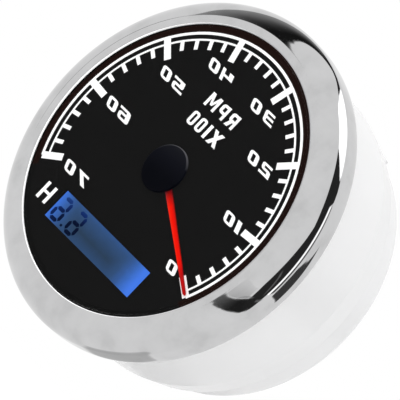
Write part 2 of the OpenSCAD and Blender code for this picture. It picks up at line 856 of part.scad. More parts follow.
module socket_shell() {
    w = socket_w - 2 * socket_wall;
    h = socket_h - 2 * socket_wall;
    latch_w = 5;
    latch_h = 3.6;
    color([0.12, 0.12, 0.13]) gauge() difference() {
        translate([socket_x, 0, 0]) union() {
            plate(socket_w, socket_h, 1, socket_mouth_z, rear_board_z);
            translate([0, socket_h / 2 - 1, 0])
                block(latch_w, latch_h, rear_z - 0.5, socket_mouth_z + 1);
        }
        translate([socket_x, 0, 0]) block(w, h, socket_mouth_z - over, socket_floor_z);
        at_contacts() rod(contact_r, socket_floor_z - over, rear_board_z + over);
    }
}

module socket_pins() {
    point = 0.3;
    tip_z = socket_floor_z - contact_l;
    color([0.85, 0.68, 0.3]) gauge() at_contacts() union() {
        rod(contact_r, tip_z + point, rear_board_z);
        translate([0, 0, tip_z]) cylinder(h = point, r1 = contact_r / 2, r2 = contact_r);
    }
}

// A stud: its head is held in the rear wall, and its thread is drawn at the core where the nut sits
module studs() {
    point = 0.6;
    color([0.72, 0.6, 0.35]) gauge() at_studs() union() {
        hexagon(head_af, wall_z, wall_z + head_t);
        rod(core_r, nut_back_z - over, wall_z + head_t / 2);
        rod(stud_r, rear_z - stud_l + point, nut_back_z);
        translate([0, 0, rear_z - stud_l]) cylinder(h = point, r1 = stud_r - point, r2 = stud_r);
    }
}

module stud_washers() {
    color([0.75, 0.75, 0.76]) gauge() at_studs() difference() {
        rod(washer_r, rear_z - washer_t, rear_z);
        rod(stud_r + side_gap, rear_z - washer_t - over, rear_z + over);
    }
}

module stud_nuts() {
    corner = head_af / 2 / cos(30);
    cut = 0.3;
    color([0.72, 0.6, 0.35]) gauge() at_studs() difference() {
        intersection() {
            hexagon(head_af, nut_back_z, nut_front_z);
            turned([[0, nut_back_z], [head_af / 2, nut_back_z], [corner, nut_back_z + cut],
                [corner, nut_front_z - cut], [head_af / 2, nut_front_z], [0, nut_front_z]]);
        }
        rod(core_r, nut_back_z - over, rear_z);
    }
}

bezel();
lens();
lens_gasket();
dial_plate();
scale_print();
light_guide();
lcd_panel();
lcd_backlight();
carrier();
circuit_board();
board_screws();
backlight_leds();
control_chip();
capacitors();
movement_base();
movement_cover();
stator_core();
coils();
rotor();
middle_gear();
output_gear();
needle();
needle_cap();
housing();
terminal_board();
terminal_screws();
link_ribbon();
set_switch();
set_button();
socket_shell();
socket_pins();
studs();
stud_washers();
stud_nuts();
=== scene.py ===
"""Dressed model of a boat tachometer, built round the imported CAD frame.

Lengths in the drawing functions are millimetres in the gauge's own drawing frame: x to the right of
a viewer who faces the dial, y towards twelve o'clock and z out of the dial. stand() turns them into
the frame's metres.
"""
import json

import bpy
import numpy as np
from mathutils import Matrix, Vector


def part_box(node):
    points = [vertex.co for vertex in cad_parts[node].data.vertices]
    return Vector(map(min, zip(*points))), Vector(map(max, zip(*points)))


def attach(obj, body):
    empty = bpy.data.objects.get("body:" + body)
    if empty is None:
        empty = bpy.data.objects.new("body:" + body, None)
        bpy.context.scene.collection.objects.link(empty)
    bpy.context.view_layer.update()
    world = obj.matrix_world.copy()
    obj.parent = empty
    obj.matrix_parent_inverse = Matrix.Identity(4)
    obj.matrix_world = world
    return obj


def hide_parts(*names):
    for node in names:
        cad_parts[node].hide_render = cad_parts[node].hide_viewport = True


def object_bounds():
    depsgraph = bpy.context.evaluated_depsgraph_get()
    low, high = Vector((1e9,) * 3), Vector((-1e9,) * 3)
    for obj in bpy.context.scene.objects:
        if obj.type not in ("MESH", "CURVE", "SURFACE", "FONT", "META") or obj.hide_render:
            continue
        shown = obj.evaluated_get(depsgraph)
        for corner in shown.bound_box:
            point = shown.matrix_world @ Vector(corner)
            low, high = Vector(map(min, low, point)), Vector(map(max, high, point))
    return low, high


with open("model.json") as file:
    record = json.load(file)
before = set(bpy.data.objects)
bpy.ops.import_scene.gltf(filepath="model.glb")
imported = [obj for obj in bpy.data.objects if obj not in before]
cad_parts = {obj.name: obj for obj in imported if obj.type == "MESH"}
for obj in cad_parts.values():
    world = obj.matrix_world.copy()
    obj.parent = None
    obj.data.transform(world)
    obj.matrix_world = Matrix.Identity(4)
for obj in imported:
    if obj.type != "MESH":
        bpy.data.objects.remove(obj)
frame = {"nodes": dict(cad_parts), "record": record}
cad_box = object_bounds()
nodes = frame["nodes"]

MM = 0.001
# Hand of the dial print: -1 as the photograph shows it, 1 for print that reads the right way round
PRINT_HAND = -1


def front_of(node):
    """Height of a CAD node's front face, in drawing millimetres."""
    return -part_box(node)[0].y / MM


def back_of(node):
    """Height of a CAD node's back face, in drawing millimetres."""
    return -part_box(node)[1].y / MM


def radius_of(node):
    """Outside radius of a round CAD node about the gauge's axis, in millimetres."""
    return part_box(node)[1].x / MM


# Sizes shared with the CAD source, in millimetres
BEZEL_R = radius_of("bezel")
WINDOW_R = 38.8
LIP_Z = 10.05
CREASE_R = 41.0
CREASE_Z = front_of("bezel")
WALL_Z = 4.8
RIM_POWER = 1.75
SHEET = 0.7
LIP_T = 0.4
HEM_R = 43.2
DIAL_Z = front_of("dial_plate")
OUTER_ARC_R = 36.7
FACE_R, FACE_DROP = 37.2, 0.6
LIP_ROUND = 0.08
# Turns about Y that set an object's Z across the resting pointer, for its painted shade, towards the side of its
# cap with the painted highlight and towards the side of the window's lip with the painted highlight
POINTER_TURN, CAP_TURN, LIP_TURN = np.radians((-30, 6, 127))
# Least angle between two faces that shows as a crease, in degrees
CREASE_ANGLE = 32
LCD_Y = (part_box("lcd_panel")[0].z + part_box("lcd_panel")[1].z) / 2 / MM
LCD_Z = front_of("lcd_panel")


# ---------------------------------------------------------------- camera, as the photograph

PHOTO = 400
PX_PER_MM = 4.212
FOCAL, SENSOR = 1200.0, 36.0
TOWARDS_CAMERA = np.array((0.6435, -0.7652, 0.0185))
PICTURE_RIGHT = np.array((0.5443, 0.4744, 0.6918))
WINDOW_CENTRE = np.array((0.0, -LIP_Z, 0.0)) * MM
WINDOW_PIXEL = (165.7, 169.5)


def unit(v):
    """A vector, or rows of vectors, divided by their lengths."""
    return v / np.linalg.norm(v, axis=-1, keepdims=True)


def make_camera():
    """Aim: the window's centre falls on its pixel. Distance: frame width times focal length over sensor."""
    back = unit(TOWARDS_CAMERA)
    right = unit(PICTURE_RIGHT - back * (PICTURE_RIGHT @ back))
    up = np.cross(back, right)
    mm_per_px = MM / PX_PER_MM
    aim = (WINDOW_CENTRE
           - (WINDOW_PIXEL[0] - PHOTO / 2) * mm_per_px * right
           + (WINDOW_PIXEL[1] - PHOTO / 2) * mm_per_px * up)
    distance = PHOTO * mm_per_px * FOCAL / SENSOR
    data = bpy.data.cameras.new("photo_camera")
    data.lens, data.sensor_width = FOCAL, SENSOR
    data.clip_start, data.clip_end = 0.01, 50
    camera = bpy.data.objects.new("photo_camera", data)
    turn = np.eye(4)
    turn[:3, 0], turn[:3, 1], turn[:3, 2] = right, up, back
    turn[:3, 3] = aim + distance * back
    camera.matrix_world = Matrix(turn.tolist())
    bpy.context.scene.collection.objects.link(camera)
    bpy.context.scene.camera = camera


make_camera()
bpy.context.scene.view_settings.view_transform = "Standard"


# ---------------------------------------------------------------- finishes


class Finish:
    """A material in the making: one shader, the piece's own object coordinates, and patterns on them."""

    def __init__(self, name, colour, rough, metal=0.0, **sockets):
        self.material = bpy.data.materials.new(name)
        self.material.use_nodes = True
        self.tree = self.material.node_tree
        self.shader = self.tree.nodes["Principled BSDF"]
        self.output = self.tree.nodes["Material Output"]
        self.coords = self.add("ShaderNodeTexCoord").outputs["Object"]
        self.set("Base Color", (*colour, 1.0))
        self.set("Roughness", rough)
        self.set("Metallic", metal)
        for socket, value in sockets.items():
            self.set(socket.replace("_", " "), value)

    def add(self, kind, **values):
        node = self.tree.nodes.new(kind)
        for key, value in values.items():
            setattr(node, key, value)
        return node

    def set(self, socket, value):
        self.shader.inputs[socket].default_value = value

    def link(self, output, target):
        self.tree.links.new(output, target)

    def placed(self, scale, turn=(0, 0, 0), shift=(0, 0, 0)):
        """Object coordinates scaled per metre, turned and shifted."""
        node = self.add("ShaderNodeMapping")
        node.inputs["Scale"].default_value = scale if hasattr(scale, "__len__") else (scale,) * 3
        node.inputs["Rotation"].default_value = turn
        node.inputs["Location"].default_value = shift
        self.link(self.coords, node.inputs["Vector"])
        return node.outputs["Vector"]

    def noise(self, scale, detail=3.0, stretch=(1, 1, 1)):
        """Cloudy noise, so many lumps to a metre, drawn out along an axis by a stretch."""
        node = self.add("ShaderNodeTexNoise")
        node.inputs["Scale"].default_value = 1.0
        node.inputs["Detail"].default_value = detail
        self.link(self.placed(tuple(scale / s for s in stretch)), node.inputs["Vector"])
        return node.outputs["Fac"]

    def waves(self, scale, turn=(0, 0, 0), distort=0.0):
        """Parallel waves along the turned x, so many to a metre."""
        node = self.add("ShaderNodeTexWave", wave_profile="SIN", wave_type="BANDS")
        node.inputs["Scale"].default_value = 1.0
        node.inputs["Distortion"].default_value = distort
        self.link(self.placed(scale / 20 * 2 * np.pi, turn), node.inputs["Vector"])
        return node.outputs["Fac"]

    def cells(self, scale):
        """Distance to the edges of scattered cells, so many to a metre."""
        node = self.add("ShaderNodeTexVoronoi", feature="DISTANCE_TO_EDGE")
        node.inputs["Scale"].default_value = 1.0
        self.link(self.placed(scale), node.inputs["Vector"])
        return node.outputs["Distance"]

    def radius(self):
        """Distance from the gauge's axis, in millimetres."""
        node = self.add("ShaderNodeVectorMath", operation="LENGTH")
        self.link(self.placed((1 / MM, 0, 1 / MM)), node.inputs[0])
        return node.outputs["Value"]

    def side(self, turn):
        """Millimetres along the object's Z, turned about Y."""
        node = self.add("ShaderNodeSeparateXYZ")
        self.link(self.placed(1 / MM, (0, turn, 0)), node.inputs["Vector"])
        return node.outputs["Z"]

    def combine(self, operation, first, second, kind="ShaderNodeMath"):
        """Two values put together, or two colours with the vector kind."""
        node = self.add(kind, operation=operation)
        self.link(first, node.inputs[0])
        self.link(second, node.inputs[1])
        return node.outputs[0]

    def between(self, value, low, high, start=0.0, stop=1.0):
        """A value carried from start..stop to low..high."""
        node = self.add("ShaderNodeMapRange")
        for socket, number in (("From Min", start), ("From Max", stop), ("To Min", low), ("To Max", high)):
            node.inputs[socket].default_value = number
        self.link(value, node.inputs["Value"])
        return node.outputs["Result"]

    def ramp(self, value, stops):
        """A colour for each place from 0 to 1."""
        node = self.add("ShaderNodeValToRGB")
        band = node.color_ramp
        while len(band.elements) < len(stops):
            band.elements.new(0.5)
        for element, (place, colour) in zip(band.elements, stops):
            element.position, element.color = place, (*colour, 1.0)
        self.link(value, node.inputs["Fac"])
        return node.outputs["Color"]

    def colour(self, value, stops):
        self.link(self.ramp(value, stops), self.shader.inputs["Base Color"])

    def glow(self, colour, strength=1.0):
        """Light of its own."""
        self.link(colour, self.shader.inputs["Emission Color"])
        self.set("Emission Strength", strength)

    def rough(self, value, low, high):
        self.link(self.between(value, low, high), self.shader.inputs["Roughness"])

    def relief(self, value, depth, after=None):
        """Bump of that depth in metres, on top of another relief."""
        node = self.add("ShaderNodeBump")
        node.inputs["Strength"].default_value = 1.0
        node.inputs["Distance"].default_value = depth
        self.link(value, node.inputs["Height"])
        if after is not None:
            self.link(after, node.inputs["Normal"])
        self.link(node.outputs["Normal"], self.shader.inputs["Normal"])
        return node.outputs["Normal"]


def shade(colour, factor):
    """A colour made lighter or darker by a factor."""
    return tuple(min(1.0, c * factor) for c in colour)


def moulded(name, colour, rough, grain=9000, depth=4e-6, drift=0.05, **sockets):
    """Moulded plastic: a fine eroded grain, slow colour drift and uneven gloss."""
    f = Finish(name, colour, rough, **sockets)
    f.colour(f.noise(140, 2.0), [(0.3, shade(colour, 1 - drift)), (0.7, shade(colour, 1 + drift))])
    f.rough(f.noise(700, 4.0), rough * 0.85, min(1.0, rough * 1.15))
    f.relief(f.noise(grain, 4.0), depth)
    return f


def plated(name, colour, rough, grain=5000, stretch=(1, 12, 1)):
    """Plated or brushed metal: fine drawn lines, stains and scratches in its gloss."""
    f = Finish(name, colour, rough, metal=1.0)
    f.colour(f.noise(500, 4.0), [(0.3, shade(colour, 0.92)), (0.7, shade(colour, 1.06))])
    f.rough(f.noise(grain, 3.0, stretch), rough * 0.7, rough * 1.3)
    f.relief(f.noise(grain, 2.0, stretch), 8e-7)
    return f


def bezel_steel():
    """Polished stainless sheet: a clear mirror with faint clouds and hair scratches round the ring."""
    steel = (0.575, 0.575, 0.58)
    f = Finish("bezel_steel", steel, 0.03, metal=1.0)
    f.colour(f.noise(150, 5.0), [(0.3, shade(steel, 0.9)), (0.5, steel), (0.7, shade(steel, 1.05))])
    f.rough(f.noise(1800, 4.0), 0.02, 0.055)
    f.relief(f.noise(45, 2.0), 6e-6)
    return f


def lens_glass():
    """Clear coated moulding: what is behind shows through, and only its rounded rim has a weak mirror."""
    most, rim_start, rim_full = 0.1, 38.2, 38.5
    f = Finish("lens_glass", (0.95, 0.97, 0.98), 0.02)
    clear = f.add("ShaderNodeBsdfTransparent")
    clear.inputs["Color"].default_value = (0.985, 0.985, 0.985, 1.0)
    gloss = f.add("ShaderNodeBsdfGlossy")
    gloss.inputs["Roughness"].default_value = 0.2
    edge = f.add("ShaderNodeFresnel")
    edge.inputs["IOR"].default_value = 1.06
    share = f.combine("MULTIPLY", f.between(edge.outputs["Fac"], 0.0, most, 0.0, most),
                      f.between(f.radius(), 0.0, 1.0, rim_start, rim_full))
    mix = f.add("ShaderNodeMixShader")
    f.link(share, mix.inputs["Fac"])
    f.link(clear.outputs["BSDF"], mix.inputs[1])
    f.link(gloss.outputs["BSDF"], mix.inputs[2])
    f.link(mix.outputs["Shader"], f.output.inputs["Surface"])
    return f


def display_blue():
    """Lit display: bright blue at both ends, dim grey blue beside its middle. The light is a ramp over the
    smooth greater of the distance along the display and a slower rise towards its long edges."""
    f = Finish("display_blue", (0.002, 0.003, 0.006), 0.5, Specular_IOR_Level=0.0)
    per_x, per_z, dim_x, dim_y = 1 / 19.5, 0.054, 1.5 * PRINT_HAND, LCD_Y - 1.0
    node = f.add("ShaderNodeVectorMath", operation="ABSOLUTE")
    spot = f.placed((per_x / MM, 0.0, per_z / MM), shift=(-dim_x * per_x, 0.0, -dim_y * per_z))
    f.link(spot, node.inputs[0])
    split = f.add("ShaderNodeSeparateXYZ")
    f.link(node.outputs["Vector"], split.inputs["Vector"])
    rise = f.add("ShaderNodeMath", operation="ADD")
    f.link(split.outputs["Z"], rise.inputs[0])
    rise.inputs[1].default_value = 0.37
    most = f.add("ShaderNodeMath", operation="SMOOTH_MAX")
    f.link(split.outputs["X"], most.inputs[0])
    f.link(rise.outputs["Value"], most.inputs[1])
    most.inputs[2].default_value = 0.12
    grain = f.add("ShaderNodeMath", operation="MULTIPLY_ADD")
    f.link(f.noise(600, 2.0), grain.inputs[0])
    grain.inputs[1].default_value = 0.05
    f.link(most.outputs["Value"], grain.inputs[2])
    f.glow(f.ramp(grain.outputs["Value"], [
        (0.40, (0.025, 0.050, 0.094)), (0.60, (0.033, 0.080, 0.195)), (0.71, (0.038, 0.104, 0.315)),
        (0.82, (0.046, 0.150, 0.540)), (0.94, (0.060, 0.200, 0.820))]))
    return f


def pointer_red():
    """Lit red plastic: a painted shadow of the cap darkens its root, it is bright along its length and darker at
    the tip, and painted shade makes one side paler than the other."""
    f = moulded("pointer_red", (0.93, 0.006, 0.001), 0.4, grain=4000, Specular_IOR_Level=0.04)
    # Painted shadow: the ramp along the pointer is dark from under the cap out past its edge; it also darkens
    # towards the tip
    reach = f.between(f.radius(), 0.0, 1.0, 0.0, 36.0)
    red = f.ramp(reach, [
        (0.17, (0.07, 0.002, 0.002)), (0.23, (0.42, 0.004, 0.002)), (0.30, (0.72, 0.005, 0.001)),
        (0.74, (0.74, 0.005, 0.001)), (0.84, (0.42, 0.004, 0.004)), (1.0, (0.36, 0.004, 0.004))])
    # Painted shade: one half of the pointer is paler than the other
    side = f.ramp(f.between(f.side(POINTER_TURN), 0.0, 1.0, -1.0, 1.0), [
        (0.1, (1.0, 4.0, 8.0)), (0.35, (1.0, 2.0, 2.0)), (0.46, (1.0, 1.0, 1.0)), (0.62, (0.95, 0.8, 1.0)),
        (0.9, (0.5, 1.2, 3.0))])
    red_with_painted_shade = f.combine("MULTIPLY", red, side, "ShaderNodeVectorMath")
    f.link(red_with_painted_shade, f.shader.inputs["Base Color"])
    f.glow(red_with_painted_shade, 0.22)
    return f


def cap_black():
    """Pointer cap: blue black, with painted shade that makes it a little paler towards one side, where a painted
    highlight glows as a thin line along its edge.
    """
    f = moulded("cap_black", (0.0010, 0.0011, 0.0018), 0.45, grain=5000, depth=2e-6, Specular_IOR_Level=0.02)
    # Painted shade: the cap's glow grows paler towards one side
    across = f.between(f.side(CAP_TURN), 0.0, 1.0, -6.0, 6.0)
    body = f.ramp(across, [
        (0.35, (0.0008, 0.0010, 0.0022)), (0.7, (0.0032, 0.0036, 0.0062)), (1.0, (0.0085, 0.0090, 0.0120))])
    # Painted highlight: a thin pale arc glows along the cap's edge on that side
    rim_start, rim_stop = 5.7, 6.3
    edge = f.ramp(f.between(f.radius(), 0.0, 1.0, rim_start, rim_stop), [
        (0.5, (0, 0, 0)), (0.62, (1, 1, 1)), (1.0, (1, 1, 1))])
    side = f.ramp(across, [(0.7, (0, 0, 0)), (0.9, (0.06, 0.06, 0.065)), (1.0, (0.09, 0.09, 0.095))])
    painted_rim_highlight = f.combine("MULTIPLY", edge, side, "ShaderNodeVectorMath")
    f.glow(f.combine("ADD", body, painted_rim_highlight, "ShaderNodeVectorMath"))
    return f


def circuit_green():
    """Solder resist over copper: green with paler tracks that run in cells, and bright pads."""
    green = (0.012, 0.13, 0.05)
    f = Finish("board_green", green, 0.3)
    f.colour(f.cells(420), [(0.0, (0.03, 0.24, 0.10)), (0.05, (0.025, 0.2, 0.08)), (0.09, green)])
    f.relief(f.between(f.cells(420), 1.0, 0.0, 0.0, 0.07), 2.5e-5)
    return f


def coil_copper():
    """Enamelled wire: fine turns laid side by side."""
    copper = (0.55, 0.22, 0.09)
    f = Finish("coil_copper", copper, 0.3, metal=0.85)
    turns = f.waves(5200, (0, np.pi / 2, 0), distort=0.3)
    f.colour(turns, [(0.1, shade(copper, 0.45)), (0.7, copper)])
    f.relief(turns, 6e-5)
    return f


def ribbon_grey():
    """Flat lead: parallel conductors under grey film."""
    f = Finish("ribbon_grey", (0.42, 0.43, 0.45), 0.5)
    wires = f.waves(1000)
    f.colour(wires, [(0.2, (0.30, 0.31, 0.33)), (0.8, (0.48, 0.49, 0.51))])
    f.relief(wires, 1e-4)
    return f


def housing_white():
    """Gloss white moulding: faint flow marks and a very fine ripple."""
    white = (0.86, 0.86, 0.865)
    f = Finish("housing_white", white, 0.22)
    f.colour(f.noise(60, 3.0), [(0.3, shade(white, 0.985)), (0.7, shade(white, 1.01))])
    f.rough(f.noise(420, 3.0), 0.17, 0.27)
    f.relief(f.noise(1200, 3.0), 2e-6, f.relief(f.noise(90, 2.0), 8e-6))
    return f


FINISHES = {
    "bezel_steel": bezel_steel(),
    "lens_glass": lens_glass(),
    "seal_rubber": moulded("seal_rubber", (0.012, 0.012, 0.013), 0.62, grain=3500, depth=1.5e-5),
    # dial_black: its glow is painted light, which lifts the dial's shaded rim to the level of its lit face
    "dial_black": moulded("dial_black", (0.0030, 0.0030, 0.0030), 0.7, grain=6000, depth=3e-6,
                          Specular_IOR_Level=0.0, Emission_Color=(0.0068, 0.0068, 0.0068, 1),
                          Emission_Strength=1.0),
    "print_white": moulded("print_white", (0.93, 0.93, 0.93), 0.55, grain=5000, drift=0.02,
                           Specular_IOR_Level=0.2, Emission_Color=(1, 1, 1, 1), Emission_Strength=0.14),
    "guide_clear": moulded("guide_clear", (0.75, 0.79, 0.82), 0.25, grain=1500, depth=1e-5),
    "display_blue": display_blue(),
    "diffuser_white": moulded("diffuser_white", (0.82, 0.83, 0.85), 0.5),
    "inner_black": moulded("inner_black", (0.018, 0.018, 0.019), 0.55, grain=2500, depth=1e-5),
    "board_green": circuit_green(),
    "screw_steel": plated("screw_steel", (0.60, 0.60, 0.62), 0.25),
    "can_aluminium": plated("can_aluminium", (0.72, 0.72, 0.74), 0.3, stretch=(1, 30, 1)),
    "movement_plastic": moulded("movement_plastic", (0.78, 0.77, 0.72), 0.45),
    "core_steel": plated("core_steel", (0.42, 0.42, 0.43), 0.35, stretch=(14, 1, 1)),
    "coil_copper": coil_copper(),
    "magnet_dark": moulded("magnet_dark", (0.06, 0.06, 0.065), 0.45, grain=3000, depth=8e-6, drift=0.2),
    "gear_plastic": moulded("gear_plastic", (0.84, 0.82, 0.74), 0.4),
    "pointer_red": pointer_red(),
    "cap_black": cap_black(),
    "housing_white": housing_white(),
    "ribbon_grey": ribbon_grey(),
    "socket_black": moulded("socket_black", (0.02, 0.02, 0.021), 0.5, grain=2200, depth=1.2e-5),
    "contact_brass": plated("contact_brass", (0.80, 0.60, 0.26), 0.2, stretch=(1, 8, 1)),
    "stud_steel": plated("stud_steel", (0.66, 0.58, 0.40), 0.25),
}
# Brown print of the band round the scale; its glow is painted light, which lifts the band where it lies in shade
EDGE_BROWN_PAINTED_LIGHT = moulded("edge_brown_painted_light", (0.0040, 0.0022, 0.0018), 0.6, grain=5000, Specular_IOR_Level=0.0,
                     Emission_Color=(0.0115, 0.0058, 0.0050, 1), Emission_Strength=1.0)


def lip_painted_highlight():
    """Satin edge of the bezel's window with a painted highlight: its colour and glow are pale and bright at its
    left, and as grey as the ring at its right.
    """
    f = moulded("lip_painted_highlight", (0.86, 0.86, 0.87), 0.5, grain=3000, drift=0.02)
    across = f.between(f.side(LIP_TURN), 0.0, 1.0, -WINDOW_R, WINDOW_R)
    # Painted highlight: colour and glow are pale at the lip's left and fall to the ring's grey at its right
    f.colour(across, [(0.2, (0.36, 0.36, 0.37)), (0.36, (0.55, 0.55, 0.56)), (0.72, (0.86, 0.86, 0.87))])
    f.glow(f.ramp(across, [(0.2, (0.0, 0.0, 0.0)), (0.36, (0.16, 0.16, 0.16)), (0.72, (0.45, 0.45, 0.45))]))
    return f


LIP_PAINTED_HIGHLIGHT = lip_painted_highlight()


def segment_navy():
    """Display segments: near black at the foot of the inner figure, and faded with distance from it."""
    f = Finish("segment_navy", (0.002, 0.003, 0.006), 0.5, Specular_IOR_Level=0.0)
    per_x, per_z, dark_x, dark_y = 1 / 16, 1 / 9, 9.0 * PRINT_HAND, LCD_Y - 2.8
    node = f.add("ShaderNodeVectorMath", operation="LENGTH")
    spot = f.placed((per_x / MM, 0.0, per_z / MM), shift=(-dark_x * per_x, 0.0, -dark_y * per_z))
    f.link(spot, node.inputs[0])
    f.glow(f.ramp(node.outputs["Value"], [
        (0.30, (0.0015, 0.0045, 0.022)), (0.45, (0.003, 0.010, 0.056)), (0.58, (0.006, 0.022, 0.120)),
        (0.75, (0.012, 0.042, 0.190)), (0.92, (0.034, 0.100, 0.330))]))
    return f


SEGMENT_NAVY = segment_navy()

for row in frame["record"]["subparts"]:
    node = nodes[row["node"]]
    for slot in node.material_slots:
        slot.material = FINISHES[row["material_slot"]].material


# ---------------------------------------------------------------- surfaces


def stand(points):
    """Drawing millimetres to the frame's metres: x stays, y becomes up and z comes towards -Y."""
    points = np.asarray(points, float)
    return np.stack([points[..., 0], -points[..., 2], points[..., 1]], -1) * MM


def piece(name, points, faces, finish, body="case", replaced=(), smooth=True):
    """A mesh object from points in drawing millimetres and rows of corner numbers.

    It sits at the origin, rides on a CAD body, and may stand for CAD nodes."""
    mesh = bpy.data.meshes.new(name)
    rows = np.asarray(points, float).reshape(-1, 3)
    mesh.from_pydata(stand(rows), [], faces if isinstance(faces, list) else faces.tolist())
    mesh.validate()
    mesh.polygons.foreach_set("use_smooth", np.full(len(mesh.polygons), smooth))
    if smooth:
        mesh.set_sharp_from_angle(angle=np.radians(CREASE_ANGLE))
    mesh.materials.append(finish.material)
    mesh.update()
    obj = bpy.data.objects.new(name, mesh)
    bpy.context.scene.collection.objects.link(obj)
    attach(obj, body)
    if replaced:
        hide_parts(*replaced)


def grid_faces(rows, columns, wrap_rows=False, wrap_columns=False):
    """Quads between neighbours on a grid of rows by columns, joined up at a wrapped edge."""
    i = np.arange(rows if wrap_rows else rows - 1)
    j = np.arange(columns if wrap_columns else columns - 1)
    a, b = np.meshgrid(i, j, indexing="ij")
    a2, b2 = (a + 1) % rows, (b + 1) % columns
    corners = [a * columns + b, a * columns + b2, a2 * columns + b2, a2 * columns + b]
    return np.stack(corners, -1).reshape(-1, 4)


def turned(profile, segments):
    """A closed section of (radius, height) turned about the axis: x = r sin t, y = r cos t, z = height."""
    profile = np.asarray(profile, float)
    t = np.linspace(0, 2 * np.pi, segments, endpoint=False)[:, None]
    r, z = profile[None, :, 0], profile[None, :, 1]
    points = np.stack([r * np.sin(t), r * np.cos(t), z + 0 * t], -1)
    return points, grid_faces(segments, len(profile), wrap_rows=True, wrap_columns=True)


def poled(grid, poles):
    """A grid wrapped along its rows and closed by a fan of triangles round a pole at each end."""
    segments, columns = grid.shape[:2]
    count = segments * columns
    i = np.arange(segments)
    j = (i + 1) % segments
    first = np.stack([np.full(segments, count), i * columns, j * columns], -1)
    last = np.stack([np.full(segments, count + 1), j * columns + columns - 1, i * columns + columns - 1], -1)
    faces = grid_faces(segments, columns, wrap_rows=True).tolist() + first.tolist() + last.tolist()
    return np.concatenate([grid.reshape(-1, 3), np.asarray(poles, float)]), faces


def turned_cap(profile, segments):
    """A section that starts and ends on the axis, turned about it, with one point at each pole."""
    profile = np.asarray(profile, float)
    t = np.linspace(0, 2 * np.pi, segments, endpoint=False)[:, None]
    r, z = profile[None, 1:-1, 0], profile[None, 1:-1, 1]
    grid = np.stack([r * np.sin(t), r * np.cos(t), z + 0 * t], -1)
    return poled(grid, [(0, 0, profile[0, 1]), (0, 0, profile[-1, 1])])


def arc(centre, radius, start, stop, count):
    """Points on a circle about a centre, from one angle to another in degrees."""
    a = np.radians(np.linspace(start, stop, count))
    return np.stack([centre[0] + radius * np.cos(a), centre[1] + radius * np.sin(a)], -1)


# ---------------------------------------------------------------- bezel, lens and cap


def rim(inset, count):
    """A quarter of a flattened ellipse from the crease to the side wall, moved in by the sheet:
    radius and height are powers 2/p of cosine and sine."""
    a = np.radians(np.linspace(90, 0, count))
    power = 2 / RIM_POWER
    return np.stack([CREASE_R + (BEZEL_R - inset - CREASE_R) * np.cos(a) ** power,
                     WALL_Z + (CREASE_Z - inset - WALL_Z) * np.sin(a) ** power], -1)


def make_bezel():
    """Rolled ring: the window's edge is rounded, a flat land runs to the crease, the rim falls to the wall
    and the hem is turned in behind along a quarter of an ellipse."""
    edge, flat, wall_foot, hem, hem_h = LIP_ROUND, 0.06, 4.2, 0.5, 3.4
    outer = np.concatenate([
        arc((WINDOW_R + edge, LIP_Z - LIP_T + edge), edge, 270, 180, 5),
        arc((WINDOW_R + edge, CREASE_Z - edge), edge, 180, 90, 6),
        np.array([(WINDOW_R + edge + flat, CREASE_Z), (CREASE_R - flat, CREASE_Z)]),
        rim(0, 64),
        np.array([(BEZEL_R, wall_foot)]),
        (arc((0, 0), 1, 0, -90, 24) + (0, 1)) * (hem, hem_h) + (BEZEL_R - hem, 0)])
    inner = np.concatenate([
        np.array([(HEM_R, 0), (HEM_R, SHEET), (BEZEL_R - SHEET, SHEET)]),
        rim(SHEET, 32)[::-1],
        np.array([(CREASE_R, LIP_Z - LIP_T)])])
    points, faces = turned(np.concatenate([outer, inner]), 360)
    piece("bezel_ring", points, faces, FINISHES["bezel_steel"], replaced=["bezel"])


def make_lip_edge():
    """Deburred satin edge of the window, which carries a painted highlight: a thin skin up the lip's wall, round
    its corner and a little way onto the land."""
    skin, corner, land = 0.02, LIP_ROUND, 0.18
    low = LIP_Z - LIP_T + skin
    middle = (WINDOW_R + corner, CREASE_Z - corner)
    points, faces = turned(np.concatenate([
        np.array([(WINDOW_R - skin, low)]),
        arc(middle, corner + skin, 180, 90, 6),
        np.array([(WINDOW_R + land, CREASE_Z + skin), (WINDOW_R + land, CREASE_Z - skin)]),
        arc(middle, corner - skin, 90, 180, 6),
        np.array([(WINDOW_R + skin, low)])]), 360)
    piece("lip_edge", points, faces, LIP_PAINTED_HIGHLIGHT, smooth=False)


def make_lens():
    """Domed lens: the crown is a shallow sphere, rounded over at its upright edge, with a flange below."""
    flange_r, flange_z = radius_of("lens"), LIP_Z - LIP_T
    back_z = back_of("lens")
    dome_r, dome_edge, apex = WINDOW_R - 0.3, LIP_Z + 0.9, front_of("lens")
    thick, shoulder, flatten = 1.0, 0.9, 0.75
    crown_z = dome_edge + shoulder * flatten
    crown_r = dome_r - shoulder
    sag = apex - crown_z
    ball = (dome_r ** 2 + sag ** 2) / (2 * sag)
    r = np.linspace(crown_r, 0, 40)
    crown = np.stack([r, apex - ball + np.sqrt(ball ** 2 - r ** 2)], -1)
    drop = crown_z - crown[0, 1]
    a = np.radians(np.linspace(0, 90, 9))[:-1]
    round_over = np.stack([dome_r - shoulder * (1 - np.cos(a)),
                           dome_edge + (flatten * shoulder - drop) * np.sin(a)], -1)
    inner_r = np.linspace(0, dome_r - thick, 24)
    inside = np.stack([inner_r, apex - thick - ball + np.sqrt(ball ** 2 - inner_r ** 2)], -1)
    section = np.concatenate([
        inside,
        np.array([(dome_r - thick, back_z), (flange_r, back_z), (flange_r, flange_z), (dome_r, flange_z)]),
        round_over, crown])
    points, faces = turned_cap(section, 240)
    piece("domed_lens", points, faces, FINISHES["lens_glass"], replaced=["lens"])


